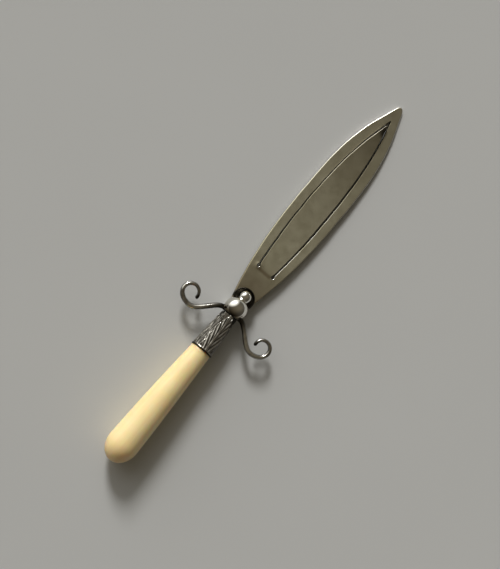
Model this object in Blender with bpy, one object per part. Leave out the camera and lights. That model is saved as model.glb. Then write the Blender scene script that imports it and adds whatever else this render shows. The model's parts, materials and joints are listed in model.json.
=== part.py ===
"""Page-clip bookmark in the form of a small dagger.

A silver blade with a springy lancet tongue cut out of it joins a guard ball with two scrolled arms.
Behind the ball a tapered ferrule holds a turned, cream-coloured handle on a hidden tang.
The pieces are laid out along +Y, from the butt to the tip of the blade, with +X across and +Z up,
around the middle of the guard ball. The whole then lies on its grip and the tip of its blade.
"""

import math

import bmesh
import bpy

MM = 0.001

# Gap left for solder or cement between neighbouring pieces.
JOINT_GAP = 0.06 * MM

# Blade: one sheet, from its seat in the guard ball to its tip.
BLADE_LENGTH = 57.6 * MM
BLADE_WIDTH = 10.8 * MM
BLADE_THICKNESS = 0.6 * MM
BLADE_ROOT_WIDTH = 4.1 * MM
BLADE_TIP_RADIUS = 0.6 * MM
BLADE_TIP_EASE = 1.5 * MM
BLADE_BELLY_SHARE = 0.486
BLADE_TIP_FULLNESS = 2.9
BLADE_ROOT_FULLNESS = 2.4
BLADE_DROP = 1.2 * MM
BLADE_SEAT = 1.2 * MM

# Tongue: the lancet inside the sawn slot, joined to the blade only along its root.
TONGUE_TIP_MARGIN = 4.5 * MM
TONGUE_ROOT_MARGIN = 9.4 * MM
TONGUE_WIDTH = 6.14 * MM
TONGUE_ROOT_WIDTH = 4.14 * MM
TONGUE_BELLY_SHARE = 0.606
TONGUE_TIP_FULLNESS = 2.5
TONGUE_ROOT_FULLNESS = 2.0
TONGUE_LIFT = math.radians(1.2)
TONGUE_ROOT_GAP = 0.1 * MM
SLOT_WIDTH = 0.28 * MM
SLOT_HOLE_RADIUS = 0.4 * MM

# Guard: ball, bead and the shallow cup that the bead stands in.
BALL_RADIUS = 2.6 * MM
BEAD_RADIUS = 1.4 * MM
BEAD_SINK = 0.8 * MM
CUP_SETBACK = 0.5 * MM
CUP_BEAD_ROOM = 0.34 * MM
CUP_WALL = 0.28 * MM
CUP_HEIGHT = 0.8 * MM
CUP_FLOOR = 0.25 * MM
CUP_BACK = 0.8 * MM

# Scrolled arms: tapered round wire, a mirrored pair that was bent slightly askew.
ARM_ROOT_DIAMETER = 1.08 * MM
ARM_TIP_DIAMETER = 0.62 * MM
ARM_SEAT = 0.9 * MM
ARM_FERRULE_ROOM = 0.19 * MM
ARM_REACH = 9.9 * MM
ARM_DROP = 1.8 * MM
ARM_ROOT_PULL = 2.0 * MM
ARM_CURL_PULL = 2.4 * MM
CURL_RADIUS = 1.74 * MM
CURL_EASE = 0.98 * MM
CURL_EASE_ANGLE = math.radians(36)
CURL_START_ANGLE = math.radians(-116)
CURL_END_ANGLE = math.radians(186)
GUARD_SKEW = math.radians(2.2)

# Ferrule, the plain ring at its mouth, and what fills it.
FERRULE_LENGTH = 9.16 * MM
FERRULE_FRONT_RADIUS = 1.95 * MM
FERRULE_MOUTH_RADIUS = 2.58 * MM
FERRULE_WALL = 0.3 * MM
RING_LENGTH = 0.3 * MM
RING_PROUD = 0.08 * MM
CEMENT_LENGTH = 2.9 * MM

# Handle and the tang that carries it.
GRIP_FRONT_RADIUS = 2.4 * MM
GRIP_BELLY_RADIUS = 3.53 * MM
GRIP_TAPER_LENGTH = 25.3 * MM
GRIP_BUTT_LENGTH = 4.4 * MM
TANG_RADIUS = 0.7 * MM
TANG_BALL_SEAT = 1.6 * MM
TANG_GRIP_REACH = 12.0 * MM
TANG_END_ROOM = 0.3 * MM

# Faceting of the round pieces.
BALL_SIDES = 40
BEAD_SIDES = 32
CUP_SIDES = 48
TURNED_SIDES = 40
BORE_SIDES = 24
TIP_STATIONS = 16
ROOT_STATIONS = 9
STEM_POINTS = 14
CURL_POINTS = 30
ARM_END_POINTS = 3
WELD = 0.0005 * MM


# Places that follow from the sizes above, along Y from the middle of the ball.

BLADE_TOP = -BLADE_DROP + BLADE_THICKNESS / 2
BLADE_ROOT = math.sqrt(BALL_RADIUS**2 - BLADE_DROP**2) - BLADE_SEAT
BLADE_TIP = BLADE_ROOT + BLADE_LENGTH
SLOT_APEX = BLADE_TIP - TONGUE_TIP_MARGIN
HINGE = BLADE_ROOT + TONGUE_ROOT_MARGIN
TONGUE_LENGTH = SLOT_APEX - HINGE

BEAD_PLACE = BALL_RADIUS + BEAD_RADIUS - BEAD_SINK
CUP_PLACE = BEAD_PLACE - CUP_SETBACK
CUP_INNER_RADIUS = BEAD_RADIUS + CUP_SETBACK + CUP_BEAD_ROOM
CUP_BOTTOM = BLADE_TOP + JOINT_GAP
BEAD_BOTTOM = CUP_BOTTOM + CUP_FLOOR + JOINT_GAP

FERRULE_FRONT_BORE = FERRULE_FRONT_RADIUS - FERRULE_WALL
FERRULE_FRONT = -math.sqrt((BALL_RADIUS + JOINT_GAP) ** 2 - FERRULE_FRONT_BORE**2)
FERRULE_MOUTH = FERRULE_FRONT - FERRULE_LENGTH
RING_FRONT = FERRULE_MOUTH - JOINT_GAP
RING_BACK = RING_FRONT - RING_LENGTH
GRIP_SHOULDER = RING_BACK - JOINT_GAP
GRIP_BELLY = GRIP_SHOULDER - GRIP_TAPER_LENGTH
GRIP_BUTT = GRIP_BELLY - GRIP_BUTT_LENGTH
CEMENT_FRONT = -BALL_RADIUS - JOINT_GAP
CEMENT_BACK = CEMENT_FRONT - CEMENT_LENGTH
SPIGOT_FRONT = CEMENT_BACK - JOINT_GAP

TANG_FRONT = -BALL_RADIUS + TANG_BALL_SEAT
TANG_BACK = GRIP_SHOULDER - TANG_GRIP_REACH
TANG_BORE_RADIUS = TANG_RADIUS + JOINT_GAP

ARM_ROOT_RADIUS = ARM_ROOT_DIAMETER / 2
ARM_ROOT_PLACE = FERRULE_FRONT + ARM_ROOT_RADIUS + ARM_FERRULE_ROOM
ARM_BALL_EXIT = math.sqrt(BALL_RADIUS**2 - ARM_ROOT_PLACE**2)
ARM_ROOT_END = ARM_BALL_EXIT - ARM_SEAT


# Helpers


def clear_scene():
    for found in list(bpy.data.objects):
        bpy.data.objects.remove(found, do_unlink=True)


def make_material(name, colour, metallic, roughness):
    material = bpy.data.materials.new(name)
    material.use_nodes = True
    shader = material.node_tree.nodes["Principled BSDF"]
    shader.inputs["Base Color"].default_value = (*colour, 1.0)
    shader.inputs["Metallic"].default_value = metallic
    shader.inputs["Roughness"].default_value = roughness
    return material


def place(name, data, parent, material=None):
    """Adds a named object to the scene, under the empty that sets the rest pose."""
    made = bpy.data.objects.new(name, data)
    made.parent = parent
    if material:
        data.materials.append(material)
    bpy.context.scene.collection.objects.link(made)
    return made


def finish_mesh(name, shape, smooth_angle=None):
    """Welds a bmesh, turns its faces outwards and stores it as a mesh."""
    bmesh.ops.remove_doubles(shape, verts=shape.verts, dist=WELD)
    bmesh.ops.recalc_face_normals(shape, faces=shape.faces)
    mesh = bpy.data.meshes.new(name)
    shape.to_mesh(mesh)
    shape.free()
    if smooth_angle is not None:
        mesh.shade_smooth()
        mesh.set_sharp_from_angle(angle=smooth_angle)
    return mesh


def turned_mesh(name, profile, sides, closed=False, axis=(0.0, 1.0, 0.0)):
    """Spins (radius, along) points about Y or Z. A closed profile is a ring, an open one ends on the axis."""
    upright = axis[2] > 0.5
    shape = bmesh.new()
    verts = []
    for radius, along in profile:
        spot = (radius, 0.0, along) if upright else (radius, along, 0.0)
        verts.append(shape.verts.new(spot))
    ends = verts[1:] + verts[:1] if closed else verts[1:]
    edges = [shape.edges.new(pair) for pair in zip(verts, ends)]
    turned = verts + edges
    middle = (0.0, 0.0, 0.0)
    bmesh.ops.spin(shape, geom=turned, axis=axis, cent=middle, angle=math.tau, steps=sides, use_merge=True)
    return finish_mesh(name, shape, math.radians(40))


def ball_profile(radius, sides):
    """Half circle from pole to pole, as (radius, along) points."""
    steps = sides // 2
    turns = [math.pi * (step / steps - 0.5) for step in range(steps + 1)]
    inner = [(radius * math.cos(turn), radius * math.sin(turn)) for turn in turns[1:-1]]
    return [(0.0, -radius), *inner, (0.0, radius)]


def plate_mesh(name, outline, bottom, top):
    """A flat plate: a closed (x, y) outline between two levels."""
    shape = bmesh.new()
    face = shape.faces.new([shape.verts.new((x, y, bottom)) for x, y in outline])
    grown = bmesh.ops.extrude_face_region(shape, geom=[face])
    raised = [item for item in grown["geom"] if isinstance(item, bmesh.types.BMVert)]
    bmesh.ops.translate(shape, verts=raised, vec=(0.0, 0.0, top - bottom))
    return finish_mesh(name, shape)


def box_mesh(name, low, high):
    outline = [(low[0], low[1]), (high[0], low[1]), (high[0], high[1]), (low[0], high[1])]
    return plate_mesh(name, outline, low[2], high[2])


def rod_mesh(name, radius, start, end, sides):
    return turned_mesh(name, [(0.0, start), (radius, start), (radius, end), (0.0, end)], sides)


def cut(piece, cutter):
    """Takes the cutter out of the piece and keeps the cutter as a guide only."""
    cutter.hide_render = True
    cutter.display_type = "WIRE"
    modifier = piece.modifiers.new(cutter.name, "BOOLEAN")
    modifier.operation = "DIFFERENCE"
    modifier.solver = "EXACT"
    modifier.object = cutter


# Outlines and profiles


def blade_half_width(from_tip):
    """Half the blade's width at a distance from its tip, with the point eased to a small radius."""
    belly = BLADE_BELLY_SHARE * BLADE_LENGTH
    full = BLADE_WIDTH / 2
    if from_tip > belly:
        share = (from_tip - belly) / (BLADE_LENGTH - belly)
        return full - (full - BLADE_ROOT_WIDTH / 2) * share**BLADE_ROOT_FULLNESS
    flank = full * (1.0 - (1.0 - from_tip / belly) ** BLADE_TIP_FULLNESS)
    nose = 2.0 * BLADE_TIP_RADIUS * from_tip * math.exp(-from_tip / BLADE_TIP_EASE)
    return math.sqrt(flank**2 + nose)


def slot_half_width(from_apex):
    """Half the distance between the middles of the two slots, running straight on past the apex."""
    belly = TONGUE_BELLY_SHARE * TONGUE_LENGTH
    full = TONGUE_WIDTH / 2
    if from_apex < 0.0:
        return full * TONGUE_TIP_FULLNESS * from_apex / belly
    if from_apex > belly:
        share = (from_apex - belly) / (TONGUE_LENGTH - belly)
        return full - (full - TONGUE_ROOT_WIDTH / 2) * share**TONGUE_ROOT_FULLNESS
    return full * (1.0 - (1.0 - from_apex / belly) ** TONGUE_TIP_FULLNESS)


def slot_edge(from_apex, side):
    """Half width of the slot's edge, on the blade's side (+1) or the tongue's (-1)."""
    step = BLADE_THICKNESS / 100
    slope = (slot_half_width(from_apex + step) - slot_half_width(from_apex - step)) / (2 * step)
    return slot_half_width(from_apex) + side * SLOT_WIDTH / 2 * math.hypot(1.0, slope)


def slot_edge_apex(side):
    """Distance from the slot's apex at which its two edges on one side meet."""
    near, far = -SLOT_WIDTH * 10, SLOT_WIDTH * 10
    for _ in range(40):
        middle = (near + far) / 2
        if slot_edge(middle, side) < 0.0:
            near = middle
        else:
            far = middle
    return far


def stations(start, belly, end):
    """Distances from a point, close together near it and even past the belly."""
    reach = belly - start
    near = [start + reach * (step / TIP_STATIONS) ** 2 for step in range(1, TIP_STATIONS + 1)]
    far = [belly + (end - belly) * step / ROOT_STATIONS for step in range(1, ROOT_STATIONS + 1)]
    return near + far


def leaf_outline(tip, distances, half_width):
    """Closed outline that is alike on both sides: the point first, then the right side and the left."""
    right = [(half_width(distance), tip - distance) for distance in distances]
    left = [(-x, y) for x, y in reversed(right)]
    return right + left


def blade_outline():
    distances = stations(0.0, BLADE_BELLY_SHARE * BLADE_LENGTH, BLADE_LENGTH)
    return [(0.0, BLADE_TIP)] + leaf_outline(BLADE_TIP, distances, blade_half_width)


def slot_outline(side, root):
    """Outline of the window in the blade (+1) or of the tongue (-1), cut straight across at its root."""
    start = slot_edge_apex(side)
    distances = stations(start, TONGUE_BELLY_SHARE * TONGUE_LENGTH, SLOT_APEX - root)
    point = [(0.0, SLOT_APEX - start)]
    return point + leaf_outline(SLOT_APEX, distances, lambda distance: slot_edge(distance, side))


def ferrule_radius(along):
    share = (FERRULE_FRONT - along) / FERRULE_LENGTH
    return FERRULE_FRONT_RADIUS + (FERRULE_MOUTH_RADIUS - FERRULE_FRONT_RADIUS) * share


def ferrule_bore(along):
    return ferrule_radius(along) - FERRULE_WALL


def grip_outline():
    """The handle's outside from its shoulder to its butt, as (radius, along) points."""
    taper_steps, butt_steps = 9, 8
    points = []
    for step in range(taper_steps + 1):
        share = step / taper_steps
        swell = (share + math.sin(share * math.pi / 2)) / 2
        radius = GRIP_FRONT_RADIUS + (GRIP_BELLY_RADIUS - GRIP_FRONT_RADIUS) * swell
        points.append((radius, GRIP_SHOULDER - GRIP_TAPER_LENGTH * share))
    for step in range(1, butt_steps):
        turn = math.pi / 2 * step / butt_steps
        radius = GRIP_BELLY_RADIUS * math.cos(turn)
        points.append((radius, GRIP_BELLY - GRIP_BUTT_LENGTH * math.sin(turn)))
    return points + [(0.0, GRIP_BUTT)]


def bezier(start, start_pull, end_pull, end, share):
    rest = 1.0 - share
    weights = (rest**3, 3 * rest**2 * share, 3 * rest * share**2, share**3)
    spots = (start, start_pull, end_pull, end)
    return tuple(sum(weight * spot[axis] for weight, spot in zip(weights, spots)) for axis in (0, 1))


def curl_point(turn):
    """Point on the curl: a spiral that closes in on its working radius."""
    radius = CURL_RADIUS + CURL_EASE * math.exp(-(turn - CURL_START_ANGLE) / CURL_EASE_ANGLE)
    centre = (ARM_REACH, ARM_ROOT_PLACE - ARM_DROP)
    return (centre[0] + radius * math.cos(turn), centre[1] + radius * math.sin(turn))


def arm_route():
    """Points along the right arm as (out, along, wire radius), from its seat to the end of the curl."""
    first = curl_point(CURL_START_ANGLE)
    second = curl_point(CURL_START_ANGLE + math.radians(1))
    heading = math.atan2(second[1] - first[1], second[0] - first[0])
    start = (ARM_BALL_EXIT, ARM_ROOT_PLACE)
    start_pull = (ARM_BALL_EXIT + ARM_ROOT_PULL, ARM_ROOT_PLACE)
    end_pull = (first[0] - ARM_CURL_PULL * math.cos(heading), first[1] - ARM_CURL_PULL * math.sin(heading))
    route = [(ARM_ROOT_END, ARM_ROOT_PLACE, ARM_ROOT_RADIUS)]
    for step in range(STEM_POINTS):
        route.append((*bezier(start, start_pull, end_pull, first, step / STEM_POINTS), ARM_ROOT_RADIUS))
    tip_radius = ARM_TIP_DIAMETER / 2
    for step in range(CURL_POINTS + 1):
        share = step / CURL_POINTS
        turn = CURL_START_ANGLE + (CURL_END_ANGLE - CURL_START_ANGLE) * share
        route.append((*curl_point(turn), ARM_ROOT_RADIUS + (tip_radius - ARM_ROOT_RADIUS) * share))
    for step in range(1, ARM_END_POINTS + 1):
        nose = math.radians(80) * step / ARM_END_POINTS
        turn = CURL_END_ANGLE + tip_radius * math.sin(nose) / CURL_RADIUS
        route.append((*curl_point(turn), tip_radius * math.cos(nose)))
    return route


# Rest pose


def rest_pitch():
    """Angle about X at which the grip's belly and the underside of the blade's tip lie on one level."""
    blade_bottom = BLADE_DROP + BLADE_THICKNESS / 2
    return -math.atan2(GRIP_BELLY_RADIUS - blade_bottom, BLADE_TIP - GRIP_BELLY)


def rest_lift(pitch):
    """Height of the ball's middle when the lowest point of the part is on the ground."""
    spots = [(along, -radius) for radius, along in grip_outline()]
    spots += [(BLADE_TIP, -BLADE_DROP - BLADE_THICKNESS / 2), (0.0, -BALL_RADIUS)]
    return -min(along * math.sin(pitch) + level * math.cos(pitch) for along, level in spots)


def make_rest_frame():
    rest = bpy.data.objects.new("rest_frame", None)
    pitch = rest_pitch()
    rest.rotation_euler = (pitch, 0.0, 0.0)
    rest.location = (0.0, -(BLADE_TIP + GRIP_BUTT) / 2 * math.cos(pitch), rest_lift(pitch))
    bpy.context.scene.collection.objects.link(rest)
    return rest


# Pieces


def make_blade(rest, silver):
    bottom = -BLADE_DROP - BLADE_THICKNESS / 2
    blade = place("blade", plate_mesh("blade", blade_outline(), bottom, BLADE_TOP), rest, silver)
    low, high = bottom - BLADE_THICKNESS, BLADE_TOP + BLADE_THICKNESS
    window = slot_outline(+1, HINGE - TONGUE_ROOT_GAP / 2)
    cut(blade, place("slot_cutter", plate_mesh("slot_cutter", window, low, high), rest))
    for side, word in ((-1, "left"), (+1, "right")):
        drill = hole_drill(f"{word}_hole_cutter", rest)
        drill.location = (side * TONGUE_ROOT_WIDTH / 2, HINGE, -BLADE_DROP)
        cut(blade, drill)


def hole_drill(name, parent):
    length = 3 * BLADE_THICKNESS
    radius = SLOT_HOLE_RADIUS
    profile = [(0.0, -length / 2), (radius, -length / 2), (radius, length / 2), (0.0, length / 2)]
    return place(name, turned_mesh(name, profile, BORE_SIDES, axis=(0.0, 0.0, 1.0)), parent)


def make_tongue(rest, silver):
    """The tongue's own origin is on the line that it flexes about, halfway through the sheet."""
    outline = [(x, y - HINGE) for x, y in slot_outline(-1, HINGE + TONGUE_ROOT_GAP / 2)]
    mesh = plate_mesh("page_tongue", outline, -BLADE_THICKNESS / 2, BLADE_THICKNESS / 2)
    tongue = place("page_tongue", mesh, rest, silver)
    tongue.location = (0.0, HINGE, -BLADE_DROP)
    tongue.rotation_euler = (TONGUE_LIFT, 0.0, 0.0)
    for side, word in ((-1, "left"), (+1, "right")):
        drill = hole_drill(f"{word}_tongue_hole_cutter", tongue)
        drill.location = (side * TONGUE_ROOT_WIDTH / 2, 0.0, 0.0)
        cut(tongue, drill)


def make_ball(rest, silver):
    mesh = turned_mesh("guard_ball", ball_profile(BALL_RADIUS, BALL_SIDES), BALL_SIDES)
    ball = place("guard_ball", mesh, rest, silver)
    over = 2 * BALL_RADIUS
    low = (-over, BLADE_ROOT - JOINT_GAP, -BLADE_DROP - BLADE_THICKNESS / 2 - JOINT_GAP)
    high = (over, over, BLADE_TOP + JOINT_GAP)
    cut(ball, place("blade_seat_cutter", box_mesh("blade_seat_cutter", low, high), rest))
    bore = rod_mesh("tang_seat_cutter", TANG_BORE_RADIUS, TANG_FRONT + JOINT_GAP, -over, BORE_SIDES)
    cut(ball, place("tang_seat_cutter", bore, rest))
    for side, word in ((-1, "left"), (+1, "right")):
        name = f"{word}_arm_seat_cutter"
        mesh = rod_mesh(name, ARM_ROOT_RADIUS + JOINT_GAP, ARM_ROOT_END - JOINT_GAP, over, BORE_SIDES)
        drill = place(name, mesh, rest)
        turn = GUARD_SKEW - side * math.pi / 2
        drill.rotation_euler = (0.0, 0.0, turn)
        back = ARM_ROOT_PLACE
        drill.location = (-back * math.sin(GUARD_SKEW), back * math.cos(GUARD_SKEW), 0.0)
        cut(ball, drill)


def ball_clearance(name, rest):
    """Sphere that leaves the joint gap around the guard ball."""
    radius = BALL_RADIUS + JOINT_GAP
    return place(name, turned_mesh(name, ball_profile(radius, BALL_SIDES), BALL_SIDES), rest)


def make_bead(rest, silver):
    """Bead with its foot filed flat for the cup and its back hollowed to sit on the ball."""
    mesh = turned_mesh("neck_bead", ball_profile(BEAD_RADIUS, BEAD_SIDES), BEAD_SIDES)
    bead = place("neck_bead", mesh, rest, silver)
    bead.location = (0.0, BEAD_PLACE, 0.0)
    over = 2 * BEAD_RADIUS
    low = (-over, BEAD_PLACE - over, -over)
    high = (over, BEAD_PLACE + over, BEAD_BOTTOM)
    cut(bead, place("bead_foot_cutter", box_mesh("bead_foot_cutter", low, high), rest))
    cut(bead, ball_clearance("bead_back_cutter", rest))


def make_cup(rest, dark_silver):
    """Shallow round cup soldered to the blade, open at the back where the ball fills it."""
    outer = CUP_INNER_RADIUS + CUP_WALL
    floor = CUP_BOTTOM + CUP_FLOOR
    rim = CUP_BOTTOM + CUP_HEIGHT
    profile = [
        (0.0, CUP_BOTTOM),
        (outer, CUP_BOTTOM),
        (outer, rim - CUP_WALL / 3),
        (outer - CUP_WALL / 3, rim),
        (CUP_INNER_RADIUS, rim),
        (CUP_INNER_RADIUS, floor),
        (0.0, floor),
    ]
    mesh = turned_mesh("root_cup", profile, CUP_SIDES, axis=(0.0, 0.0, 1.0))
    cup = place("root_cup", mesh, rest, dark_silver)
    cup.location = (0.0, CUP_PLACE, 0.0)
    over = 2 * outer
    low = (-over, CUP_PLACE - over, CUP_BOTTOM - over)
    high = (over, CUP_PLACE - CUP_BACK, CUP_BOTTOM + over)
    cut(cup, place("cup_back_cutter", box_mesh("cup_back_cutter", low, high), rest))
    cut(cup, ball_clearance("cup_ball_cutter", rest))


def make_arms(rest, silver):
    route = arm_route()
    for side, name in ((-1, "left_scroll"), (+1, "right_scroll")):
        wire = bpy.data.curves.new(name, "CURVE")
        wire.dimensions = "3D"
        wire.bevel_depth = ARM_ROOT_RADIUS
        wire.bevel_resolution = 3
        wire.use_fill_caps = True
        spline = wire.splines.new("POLY")
        spline.points.add(len(route) - 1)
        for point, (out, along, radius) in zip(spline.points, route):
            point.co = (side * out, along, 0.0, 1.0)
            point.radius = radius / ARM_ROOT_RADIUS
        spline.use_smooth = True
        arm = place(name, wire, rest, silver)
        arm.rotation_euler = (0.0, 0.0, GUARD_SKEW)


def make_ferrule(rest, silver, dark_silver):
    profile = [
        (ferrule_bore(FERRULE_FRONT), FERRULE_FRONT),
        (FERRULE_FRONT_RADIUS, FERRULE_FRONT),
        (FERRULE_MOUTH_RADIUS, FERRULE_MOUTH),
        (ferrule_bore(FERRULE_MOUTH), FERRULE_MOUTH),
    ]
    place("ferrule", turned_mesh("ferrule", profile, TURNED_SIDES, closed=True), rest, silver)
    outer, inner = FERRULE_MOUTH_RADIUS + RING_PROUD, ferrule_bore(FERRULE_MOUTH)
    profile = [(inner, RING_FRONT), (outer, RING_FRONT), (outer, RING_BACK), (inner, RING_BACK)]
    place("mouth_ring", turned_mesh("mouth_ring", profile, TURNED_SIDES, closed=True), rest, dark_silver)


def make_cement(rest, pitch_brown):
    """Plug of setting cement round the tang, between the ball and the handle's spigot."""
    profile = [
        (TANG_BORE_RADIUS, CEMENT_FRONT),
        (ferrule_bore(CEMENT_FRONT) - JOINT_GAP, CEMENT_FRONT),
        (ferrule_bore(CEMENT_BACK) - JOINT_GAP, CEMENT_BACK),
        (TANG_BORE_RADIUS, CEMENT_BACK),
    ]
    mesh = turned_mesh("ferrule_cement", profile, TURNED_SIDES, closed=True)
    place("ferrule_cement", mesh, rest, pitch_brown)


def make_tang(rest, silver):
    place("tang", rod_mesh("tang", TANG_RADIUS, TANG_FRONT, TANG_BACK, BORE_SIDES), rest, silver)


def make_grip(rest, cream):
    """Turned handle with a tapered spigot for the ferrule and a blind bore for the tang."""
    bore_end = TANG_BACK - TANG_END_ROOM
    spigot_root = ferrule_bore(FERRULE_MOUTH) - JOINT_GAP
    profile = [
        (0.0, bore_end),
        (TANG_BORE_RADIUS, bore_end),
        (TANG_BORE_RADIUS, SPIGOT_FRONT),
        (ferrule_bore(SPIGOT_FRONT) - JOINT_GAP, SPIGOT_FRONT),
        (spigot_root, FERRULE_MOUTH),
        (spigot_root, GRIP_SHOULDER),
        *grip_outline(),
    ]
    place("handle_grip", turned_mesh("handle_grip", profile, TURNED_SIDES), rest, cream)


def main():
    clear_scene()
    silver = make_material("silver", (0.62, 0.59, 0.52), 1.0, 0.25)
    dark_silver = make_material("dark_silver", (0.06, 0.055, 0.045), 1.0, 0.4)
    cream = make_material("cream", (0.86, 0.74, 0.5), 0.0, 0.35)
    pitch_brown = make_material("pitch_brown", (0.12, 0.07, 0.04), 0.0, 0.7)
    rest = make_rest_frame()
    make_blade(rest, silver)
    make_tongue(rest, silver)
    make_ball(rest, silver)
    make_bead(rest, silver)
    make_cup(rest, dark_silver)
    make_arms(rest, silver)
    make_ferrule(rest, silver, dark_silver)
    make_cement(rest, pitch_brown)
    make_tang(rest, silver)
    make_grip(rest, cream)


main()
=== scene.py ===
"""Finished look of a dagger-shaped page-clip bookmark, built around its packed solids.

The file is laid out as a Blender add-on and is run as a script. Sizes and colours are properties of the
scene, each operator builds one piece or one group of like pieces, and the panel lists them all.
Pieces are drawn in a straight frame: +Y from the butt of the handle to the tip of the blade, +X across
the guard, +Z out of the face of the blade, around the middle of the guard ball. The rest pose then lays
them where the solids lie.
"""

import json
import math
from types import SimpleNamespace
from typing import NamedTuple

import bmesh
import bpy
import numpy as np
from bpy.props import FloatProperty, FloatVectorProperty, PointerProperty
from bpy.types import Operator, Panel, PropertyGroup
from mathutils import Matrix, Quaternion, Vector, kdtree, noise
from mathutils.geometry import delaunay_2d_cdt, interpolate_bezier


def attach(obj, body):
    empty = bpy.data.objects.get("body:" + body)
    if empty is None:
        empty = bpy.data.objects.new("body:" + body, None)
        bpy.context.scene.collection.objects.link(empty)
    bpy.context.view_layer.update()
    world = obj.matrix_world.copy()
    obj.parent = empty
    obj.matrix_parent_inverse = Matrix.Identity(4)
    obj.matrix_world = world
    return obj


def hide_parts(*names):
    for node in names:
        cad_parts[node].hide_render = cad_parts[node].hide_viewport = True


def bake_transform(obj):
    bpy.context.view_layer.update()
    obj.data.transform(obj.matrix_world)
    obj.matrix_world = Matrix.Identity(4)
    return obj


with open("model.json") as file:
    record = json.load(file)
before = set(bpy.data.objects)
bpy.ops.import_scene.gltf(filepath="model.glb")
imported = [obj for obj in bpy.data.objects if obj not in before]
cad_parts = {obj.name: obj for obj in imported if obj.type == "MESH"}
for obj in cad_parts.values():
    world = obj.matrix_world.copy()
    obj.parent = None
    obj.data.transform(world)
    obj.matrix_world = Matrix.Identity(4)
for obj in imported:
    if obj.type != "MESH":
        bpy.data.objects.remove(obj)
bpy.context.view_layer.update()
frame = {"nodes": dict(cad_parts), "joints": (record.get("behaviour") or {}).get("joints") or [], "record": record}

bl_info = {
    "name": "Dagger Bookmark",
    "version": (1, 0, 0),
    "blender": (4, 5, 0),
    "location": "3D View > Sidebar > Bookmark",
    "description": "Builds the finished surfaces of a dagger-shaped page-clip bookmark",
    "category": "Add Mesh",
}

MM = 0.001
QUARTER = math.pi / 2

# Making of the meshes
WELD = 0.0004 * MM
SLOPE_STEP = 0.01 * MM
SHARP_ANGLE = math.radians(42)
EDGE_STEPS = 4
EDGE_SUPPORT = 0.3
OUTLINE_STEP = 0.13 * MM
SHEET_SPACING = 0.55 * MM
SHEET_CLEARANCE = 0.7 * SHEET_SPACING
CORNER_ROUNDS = 5
SEARCH_ROUNDS = 40
SEARCH_REACH = 10
BLADE_STEPS = 160
SLOT_STEPS = 150
HOLE_STEPS = 24
SEAM_STEPS = 14
BALL_SIDES = 96
BEAD_STEPS = 40
NECK_STEPS = 8
RIM_STEPS = 8
TURNED_SIDES = 112
SHOULDER_STEPS = 4
TAPER_STEPS = 70
BUTT_STEPS = 26
WIRE_SIDES = 20
STEM_STEPS = 40
CURL_STEPS = 110
WIRE_END_STEPS = 8
FERRULE_SIDES = 232
FERRULE_ROWS = 112
CELL_SPOTS = ((-0.6, -0.2), (-0.2, 0.6), (0.2, -0.6), (0.6, 0.2))
WHOLE_HULL = 0
FILL_WELD = 1e-6

# Camera
FILM_WIDTH = 36.0
NEAREST = 0.01
FARTHEST = 100.0


# Sizes and colours


def size(name, description, millimetres):
    """A length, written in millimetres."""
    return FloatProperty(
        name=name, description=description, default=millimetres * MM, unit="LENGTH", precision=5
    )


def angle(name, description, degrees):
    """An angle, written in degrees."""
    return FloatProperty(
        name=name, description=description, default=math.radians(degrees), subtype="ANGLE"
    )


def number(name, description, value):
    """A share or another plain number."""
    return FloatProperty(name=name, description=description, default=value)


def colour(name, description, value):
    """A linear colour."""
    return FloatVectorProperty(
        name=name, description=description, default=value, subtype="COLOR", size=3, min=0.0, max=1.0
    )


def spot(name, description, millimetres):
    """A place, written in millimetres."""
    return FloatVectorProperty(
        name=name,
        description=description,
        default=[value * MM for value in millimetres],
        subtype="TRANSLATION",
        unit="LENGTH",
        size=3,
    )


def group(name, kind):
    """A group of settings, described by its docstring."""
    return PointerProperty(name=name, description=kind.__doc__, type=kind)


class BladeSizes(PropertyGroup):
    """Sizes of the blade"""

    length: size("Length", "Sheet from its seat in the ball to its tip", 57.6)
    width: size("Width", "Widest part of the leaf", 10.8)
    thickness: size("Thickness", "Thickness of the sheet", 0.6)
    root_width: size("Root width", "Width at the seat in the ball", 4.1)
    tip_radius: size("Tip radius", "Rounding of the point", 0.6)
    tip_ease: size("Tip ease", "Length over which the rounding fades", 1.5)
    belly_share: number("Belly share", "Where the leaf is widest, as a share from the tip", 0.486)
    tip_fullness: number("Tip fullness", "Fullness of the curve towards the tip", 2.9)
    root_fullness: number("Root fullness", "Fullness of the curve towards the root", 2.4)
    drop: size("Drop", "Middle of the sheet below the middle of the ball", 1.2)
    seat: size("Seat", "Length held in the ball", 1.2)
    edge_round: size("Edge round", "Softening of the worn edges of the face", 0.25)
    back_round: size("Back round", "Softening of the edges of the back", 0.12)
    wave_height: size("Wave height", "Height of the waves left by planishing", 0.014)
    wave_length: size("Wave length", "Length of those waves", 8.0)
    file_wander: size("File wander", "How far the filed outline strays", 0.07)
    file_length: size("File length", "Length of the flats left by filing", 4.5)
    crease_depth: size("Crease depth", "Depth of the fold across the root of the tongue", 0.05)
    crease_width: size("Crease width", "Width of that fold", 0.9)
    crease_setback: size("Crease setback", "Fold behind the holes of the slot", 0.5)
    burr_height: size("Burr height", "Height of the burr thrown up round the left hole", 0.09)
    burr_width: size("Burr width", "Width of that burr", 0.2)


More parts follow.
